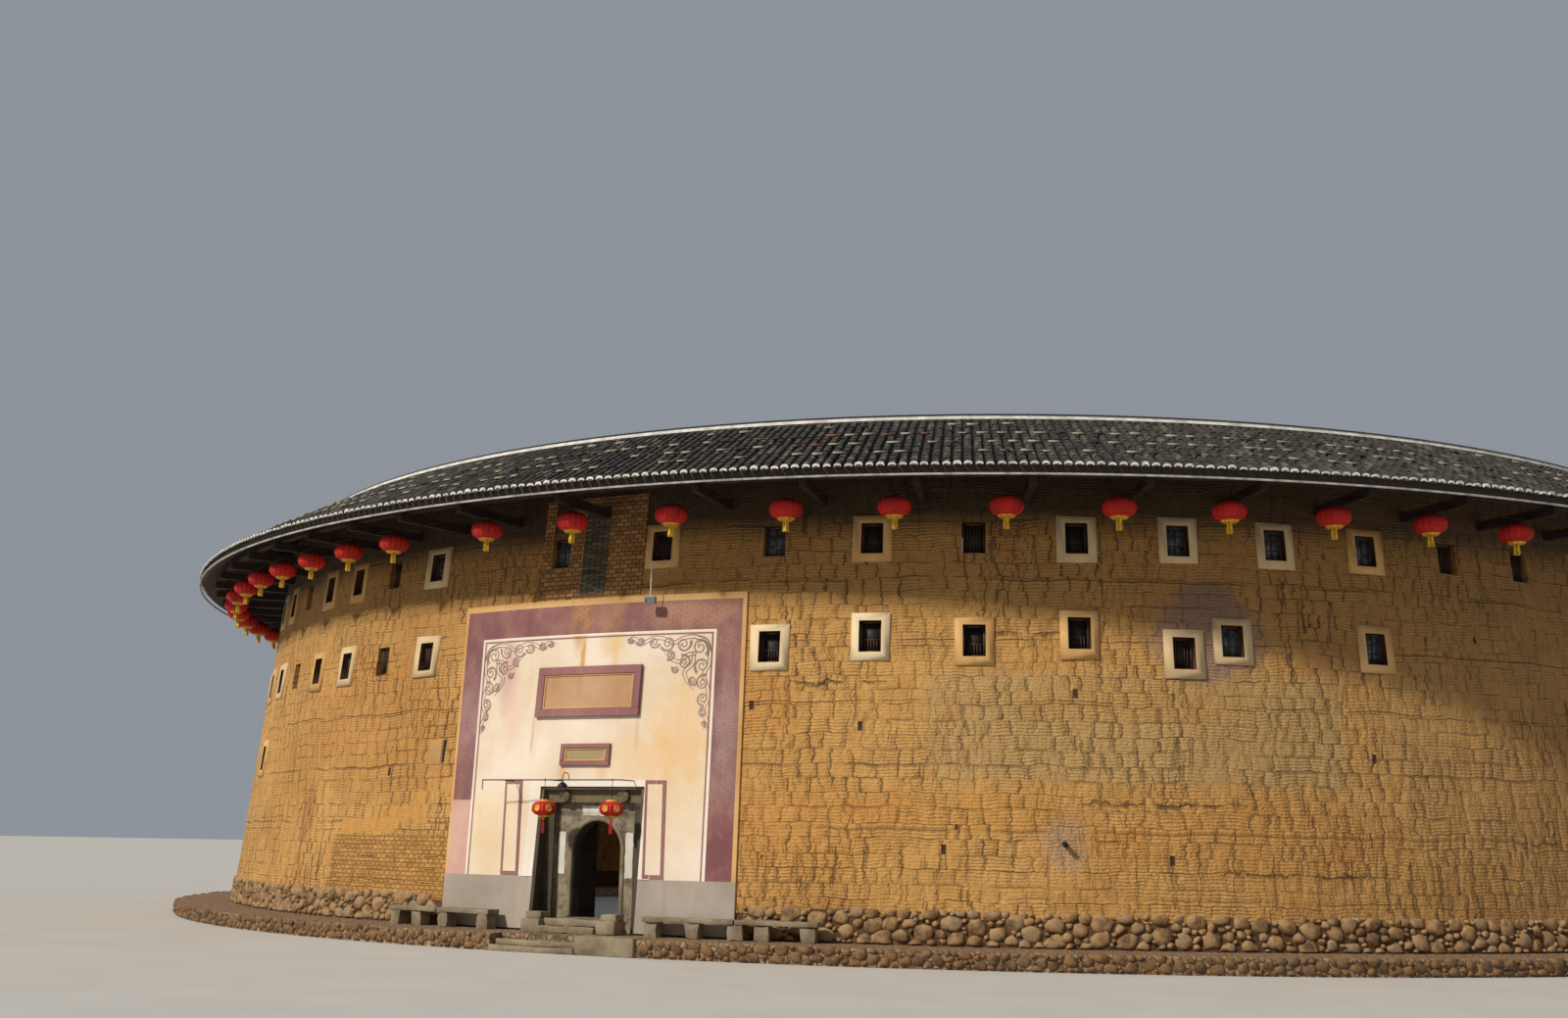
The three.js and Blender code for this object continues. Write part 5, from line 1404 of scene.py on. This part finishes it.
# Doorway
def doorway():
    """What is on the portal and its leaves: arch moulding, paper, rings on the bosses, ironwork."""
    recess = wall_radius(DOORWAY_TOP) - 0.15
    face = wall_radius(DOORWAY_TOP) - 0.35
    half, spring, foot = 0.82, 2.73, 0.86
    # Profile of the moulding: metres from the opening's edge, and metres in from the portal's face
    section = [(0.0, 0.0), (0.0, -0.03), (0.03, -0.05), (0.09, -0.05), (0.12, -0.03), (0.12, 0.02)]
    # Its path up the right side, over the arch and down the left, with the way out from the opening
    path = [(half, z, 1, 0) for z in np.linspace(foot, spring, 6)[:-1]]
    for a in np.linspace(0, math.pi, 25):
        path.append((half * math.cos(a), spring + half * math.sin(a), math.cos(a), math.sin(a)))
    path += [(-half, z, -1, 0) for z in np.linspace(spring, foot, 6)[1:]]
    trim = Shape()
    rows = [[(x + nx * out, -face + y, z + nz * out) for out, y in section] for x, z, nx, nz in path]
    trim.add(rows, grid_faces(len(rows), len(section)))
    make("arch_moulding", trim, [PALE_STONE], smooth=50)

    # Old paper on both sides of the arch and over it
    paper = Shape()
    for x0, x1, z0, z1 in ((-1.3, -1.06, 2.03, 3.22), (0.97, 1.22, 1.95, 3.22), (-0.53, 0.51, 3.69, 3.97)):
        size = (12, 3) if z1 - z0 > 1 else (3, 12)
        x = np.linspace(x0, x1, size[1]) + rng.normal(0, 0.008, size)
        z = np.linspace(z0, z1, size[0])[:, None] + rng.normal(0, 0.008, size)
        y = -face - 0.012 + rng.normal(0, 0.004, size)
        front = np.stack([x, y, z], -1).reshape(-1, 3)
        faces = grid_faces(*size)
        paper.add(np.concatenate([front, front + (0, 0.01, 0)]), faces, faces[:, ::-1] + len(front))
    make("paper_strips", paper, [PAPER], smooth=60, mend=False)

    # Three rings on each of the two bosses
    bosses = Shape()
    for x in (-1.0, 1.0):
        for radius, thick in ((0.155, 0.022), (0.105, 0.02), (0.055, 0.018)):
            bosses.tube(circle((x, -recess - 0.082, 4.24), radius, 25, 0), thick, 6, ends=False)
    make("boss_rings", bosses, [PALE_STONE], smooth=60)

    # Battens and a ring handle on each leaf, which stands open along Y
    leaf_face, outer_end, inner_end, batten_half, batten_thick = 0.905, -29.88, -29.22, 0.05, 0.012
    for body, side in (("left_leaf", -1), ("right_leaf", 1)):
        shape = Shape()
        back = side * leaf_face
        for z in (1.0, 1.85, 2.7):
            across = sorted((back, back - side * batten_thick))
            shape.block(across, (outer_end, inner_end), (z - batten_half, z + batten_half))
        shape.tube(circle((back - side * 0.03, inner_end - 0.1, 2.2), 0.07, 17, 1), 0.012, 6, ends=False)
        make(body + "_battens", shape, [IRON], body=body, smooth=50)


def worn_block(shape, x, y, z, cuts=(6, 3, 1), wear=0.012, azimuth=0.0):
    """A stone block whose faces are divided and pushed in and out a little."""
    numbers, points, faces = {}, [], []
    # Two ways round a small face, so that all of them look outwards
    first_up, first_across = ((0, 0), (0, 1), (1, 1), (1, 0)), ((0, 0), (1, 0), (1, 1), (0, 1))
    for axis, u, v in ((2, 0, 1), (1, 0, 2), (0, 1, 2)):
        walks = (first_across, first_up) if axis == 1 else (first_up, first_across)
        for i in range(cuts[u]):
            for j in range(cuts[v]):
                for side, walk in zip((0, cuts[axis]), walks):
                    face = []
                    for step_u, step_v in walk:
                        place = [side] * 3
                        place[u], place[v] = i + step_u, j + step_v
                        key = tuple(place)
                        if key not in numbers:
                            numbers[key] = len(points)
                            spans = zip((x, y, z), place, cuts)
                            point = np.array([low + (high - low) * n / cut for (low, high), n, cut in spans])
                            point += rng.normal(0, wear, 3)
                            point[2] = max(point[2], 0.0)
                            points.append(point)
                        face.append(numbers[key])
                    faces.append(face)
    shape.copies(np.array(points), [azimuth], faces)


def steps_and_benches():
    """Worn stones of the door steps, of the steps at the terrace's edge and of the two benches."""
    shape = Shape()
    face = -(WALL_OUTER + 0.065)
    worn_block(shape, (-0.93, 0.93), (-32.05, face), (TERRACE_TOP, 0.64))
    worn_block(shape, (-0.92, 0.92), (-31.72, -30.62), (0.64, 0.83))
    for side in (-1, 1):
        worn_block(shape, sorted((side * 0.94, side * 1.55)), (-31.95, face), (TERRACE_TOP, 0.82), (3, 3, 2))
        worn_block(shape, sorted((side * 1.0, side * 1.5)), (-31.8, face), (0.82, 1.0), (3, 3, 1))
    make("door_step_stones", shape, [SLAB], ["door_steps"], smooth=0, bevel=0.02)
    shape = Shape()
    notch = -32.86
    worn_block(shape, (-1.6, 1.15), (-33.35, notch), (0.0, 0.15), (8, 2, 1))
    worn_block(shape, (-1.6, 1.15), (-33.1, notch), (0.15, 0.3), (8, 1, 1))
    worn_block(shape, (1.16, 3.0), (-33.3, notch), (0.0, 0.5), (6, 2, 2))
    make("edge_step_stones", shape, [SLAB], ["terrace_steps"], smooth=0, bevel=0.02)
    seat, seat_top, back, front, parts = 0.86, 0.99, 31.5, 31.98, 8
    radius = (back + front) / 2
    for name, start, end, blocks in (
        ("bench_right", 4.2, 13.2, (4.7, 6.9, 9.1, 10.4, 12.7)),
        ("bench_left", -12.4, -4.9, (-11.9, -10.2, -8.2, -5.4)),
    ):
        shape = Shape()
        cut = (start + end) / 2 + rng.normal(0, 0.4)
        for a, b in ((start, cut), (cut, end)):
            half = math.radians((b - a) / 2) * 31.7 - 0.01
            points = []
            for x in np.linspace(-half, half, parts + 1):
                sag = radius - math.sqrt(radius**2 - x * x)
                for y, z in oblong(-front, -back, seat, seat_top):
                    points.append(np.array([x, y + sag, z]) + rng.normal(0, 0.008, 3))
            faces = [(4 * i + j, 4 * i + k, 4 * i + 4 + k, 4 * i + 4 + j)
                     for i in range(parts) for j, k in ((0, 1), (1, 2), (2, 3), (3, 0))]
            last = 4 * parts
            faces += [(3, 2, 1, 0), (last, last + 1, last + 2, last + 3)]
            shape.copies(np.array(points), [(a + b) / 2], faces)
        for azimuth in blocks:
            worn_block(shape, (-0.2, 0.2), (-31.94, -31.54), (TERRACE_TOP, seat), (2, 2, 2), 0.02, azimuth)
        make(name + "_stones", shape, [SLAB], [name], smooth=0, bevel=0.015)


# Lanterns and lamps
def ribbed(radius, half_height, mouth, ribs, rows=9):
    """The silk body of a lantern: a flat ball that draws in between its ribs."""
    t = np.linspace(0, 1, rows)
    z = half_height * np.sin((t - 0.5) * math.pi)
    r = np.maximum(radius * np.cos((t - 0.5) * math.pi) ** 0.55, mouth)
    count = ribs * 2
    angle = np.arange(count) * 2 * math.pi / count
    r = r[:, None] * np.where(np.arange(count) % 2 == 0, 1.0, 0.94)
    points = np.stack([r * np.cos(angle), r * np.sin(angle), z[:, None] + 0 * angle], -1)
    return points.reshape(-1, 3), grid_faces(rows, count, wrap=True)


def lantern_azimuths():
    """Three lanterns over the entrance, then one to each room on both sides."""
    found = [-6.3, 5.2, -0.6]
    for start, room in ((11.3, ROOM_RIGHT), (-13.8, -ROOM_LEFT)):
        azimuth = start
        while abs(azimuth) < TURN / 2:
            found.append(azimuth)
            azimuth += room
    return np.array(found)


def string_lantern():
    """Material number, corners and faces of each part of a lantern, round its own axis."""
    collar = [(0.02, -0.315), (0.2, -0.315), (0.25, -0.26), (0.24, -0.215), (0.02, -0.22)]
    cap = [(0.02, 0.23), (0.16, 0.235), (0.18, 0.27), (0.15, 0.31), (0.02, 0.31)]
    parts = [(0, *ribbed(0.47, 0.27, 0.2, 16)), (1, *lathe(collar, 16)), (0, *lathe(cap, 16))]
    for x, y in ((0.05, 0.01), (-0.05, 0.03), (0.0, -0.05), (0.01, 0.05)):
        tassel = lathe([(0.045, -0.62), (0.045, -0.5), (0.025, -0.3)], 5, (x, y, 0))
        parts.append((2, *tassel, [(4, 3, 2, 1, 0)]))
    parts.append((3, *lathe([(0.008, 0.3), (0.008, 0.45)], 4)))
    return parts


def eave_lanterns():
    """The string of lanterns under the eave, in two half rings."""
    azimuths = lantern_azimuths()
    for name, start in (("right", 0), ("left", -TURN // 2)):
        chosen = azimuths[(azimuths > 0) == (name == "right")]
        shape = Shape()
        twist = np.degrees(rng.random(len(chosen)) * 0.4)
        for mark, points, *groups in string_lantern():
            shape.copies(turn(points, twist) + (0, -STRING_RADIUS, 12.05), chosen, *groups, mark=mark)
        string = on_ring(start + np.arange(TURN // 2 + 1), STRING_RADIUS, STRING_Z)
        shape.tube(string, 0.012, 4, mark=3, ends=False)
        finishes = [SILK, GILT, TASSEL, IRON]
        make("lantern_string_" + name, shape, finishes, ["eave_lanterns_" + name], smooth=16)


def entrance_lanterns():
    """Two lanterns that hang from the rod over the doorway."""
    collar = [(0.02, -0.25), (0.15, -0.25), (0.17, -0.2), (0.16, -0.17), (0.02, -0.18)]
    cap = [(0.02, 0.18), (0.16, 0.17), (0.17, 0.2), (0.14, 0.25), (0.02, 0.25)]
    thread = [(0.012, -0.31), (0.035, -0.5), (0.045, -0.69)]
    # Four gilt discs on the silk
    disc, disc_faces = lathe([(0.001, 0.0), (0.05, 0.012), (0.085, 0.014), (0.095, 0.0)], 14)
    disc = disc[:, [0, 2, 1]] * (1, -1, 1) - (0, 0.33, 0)
    for name, x in zip(("left", "right"), LANTERNS_X):
        shape = Shape()
        hang = np.array([x, ROD_Y, 3.86])
        points, faces = ribbed(0.35, 0.2, 0.16, 18, 11)
        shape.add(points + hang, faces)
        for profile in (collar, cap):
            shape.add(*lathe(profile, 20, hang), mark=1)
        for angle in (-150, -90, -30, 90):
            shape.add(turn(disc, angle + 90) + hang, disc_faces, mark=1)
        shape.add(*lathe([(0.03, -0.32), (0.045, -0.29), (0.03, -0.25)], 10, hang), mark=1)
        for a in np.arange(9) * 2 * math.pi / 9:
            path = [(r * math.cos(a), r * math.sin(a), z) for r, z in thread]
            shape.tube(path + hang, 0.014, 4, mark=2)
        shape.tube([(x, ROD_Y, 4.09), (x, ROD_Y, ROD_Z - 0.02)], 0.009, 6, mark=3, ends=False)
        finishes, nodes = [SILK, GILT, RED_TASSEL, IRON], ["entrance_lantern_" + name]
        make("entrance_lantern_silk_" + name, shape, finishes, nodes, smooth=16)


def rod_and_lamp():
    """The iron rod over the doorway with its brackets, the lanterns' rings and a small lamp."""
    shape = Shape()
    y, z, end = ROD_Y, ROD_Z, -3.35
    shape.tube([(x, y, z) for x in np.linspace(end, 1.45, 9)], 0.018)
    shape.tube([(end, y, z + 0.018), (end, y, z - 0.28)], 0.014)
    for x in (-2.72, -1.0, 1.4):
        shape.tube([(x, y, z), (x, -30.98, z)], 0.015)
    for x in LANTERNS_X:
        shape.tube(circle((x, y, z), 0.03, 13, 1), 0.007, 5, ends=False)
    x, lamp_y = -0.35, y - 0.3
    angles = np.linspace(0, math.pi, 12)
    bow = [(x, y - 0.15 + 0.15 * math.cos(a), z + 0.08 + 0.12 * math.sin(a)) for a in angles]
    shape.tube([(x, y, z), *bow, (x, lamp_y, z - 0.08)], 0.012)
    shade = [(0.148, -0.07), (0.15, -0.062), (0.12, 0.0), (0.06, 0.05)]
    shade += [(0.035, 0.07), (0.03, 0.0), (0.1, -0.02), (0.145, -0.07)]
    shape.add(*lathe(shade, 20, (x, lamp_y, z - 0.14)))
    make("iron_rod", shape, [IRON], ["lantern_rod"], smooth=50)


def floodlight():
    """A floodlight that hangs on a white pole from an arm of the wall."""
    shape = Shape()
    x, y, arm = 1.65, -30.85, 10.98
    shape.block((x - 0.165, x + 0.165), (y - 0.08, y + 0.08), (9.73, 9.94))
    shape.block((x - 0.14, x + 0.14), (y - 0.09, y - 0.06), (9.75, 9.92), 1)
    shape.tube([(x, y, 9.93), (x, y, arm)], 0.018, mark=2)
    shape.tube([(x, y, arm), (x, -30.3, arm)], 0.018, mark=2)
    finishes = [LAMP_GREY, GLASS, POLE_PAINT]
    make("floodlight_on_pole", shape, finishes, ["floodlight"], smooth=40, bevel=0.008)


# Scene
def plain_nodes():
    """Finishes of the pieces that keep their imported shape."""
    for starts, material in (
        (("second_floor", "third_floor", "fourth_floor"), FLOOR_WOOD), (("gallery",), GALLERY_WOOD),
        (("eave_frame", "door_head"), BEAM_WOOD), (("left_door_leaf", "right_door_leaf"), DOOR_WOOD),
        (("stone_portal",), PORTAL),
    ):
        for name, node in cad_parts.items():
            if name.startswith(starts):
                node.data.materials.clear()
                node.data.materials.append(material)


def floor_and_light():
    """A pale floor, an even sky and one sun."""
    f = Finish("pale_floor")
    f.colour = f.ramp(f.noise(0.4, 3), (0.3, 0.7), ("BAB6AF", "C1BDB6"))
    mesh = bpy.data.meshes.new("floor")
    size = 400
    mesh.from_pydata([(x, y, 0) for x, y in oblong(-size, size, -size, size)], [], [(0, 1, 2, 3)])
    mesh.materials.append(f.done(0.9))
    floor = bpy.data.objects.new("floor", mesh)
    bpy.context.scene.collection.objects.link(floor)
    world = bpy.data.worlds.new("studio")
    bpy.context.scene.world = world
    world.use_nodes = True
    sky = world.node_tree.nodes["Background"].inputs
    sky[0].default_value = (0.82, 0.89, 1.0, 1)
    sky[1].default_value = 0.33
    bpy.context.scene.view_settings.view_transform = "Standard"
    light = bpy.data.lights.new("key", "SUN")
    light.energy = 3.45
    light.angle = math.radians(4)
    light.color = (1.0, 0.95, 0.86)
    key = bpy.data.objects.new("key", light)
    azimuth, elevation = math.radians(-26), math.radians(38)
    level = math.cos(elevation)
    towards = Vector((math.sin(azimuth) * level, -math.cos(azimuth) * level, math.sin(elevation)))
    key.rotation_euler = towards.to_track_quat("Z", "Y").to_euler()
    bpy.context.scene.collection.objects.link(key)


def camera():
    """The viewer: distance from the ring's axis and height in metres, angles in radians."""
    distance, height, door_azimuth = 75.31, 2.9328, math.radians(20.1)
    yaw, pitch, roll = -0.1134, 0.2052, 0.0202
    focal, picture_width, sensor = 1653.75, 1600, 36
    forward = Vector((math.sin(yaw) * math.cos(pitch), math.cos(yaw) * math.cos(pitch), math.sin(pitch)))
    level = Vector((math.cos(yaw), -math.sin(yaw), 0))
    upward = level.cross(forward)
    right = math.cos(roll) * level + math.sin(roll) * upward
    up = -math.sin(roll) * level + math.cos(roll) * upward
    turn_to_door = Matrix.Rotation(door_azimuth, 3, "Z")
    axes = Matrix((turn_to_door @ right, turn_to_door @ up, -(turn_to_door @ forward))).transposed()
    data = bpy.data.cameras.new("camera")
    data.sensor_width = sensor
    data.lens = focal / picture_width * sensor
    data.clip_end = 2000
    made = bpy.data.objects.new("camera", data)
    place = turn_to_door @ Vector((0, -distance, height)) * HALF
    made.matrix_world = Matrix.Translation(place) @ axes.to_4x4()
    bpy.context.scene.collection.objects.link(made)
    bpy.context.scene.camera = made


roof()
earth_wall()
patches()
window_pieces()
base()
panel()
panel_trim()
scrolls()
plaques()
doorway()
steps_and_benches()
eave_lanterns()
entrance_lanterns()
rod_and_lamp()
floodlight()
plain_nodes()
floor_and_light()
camera()
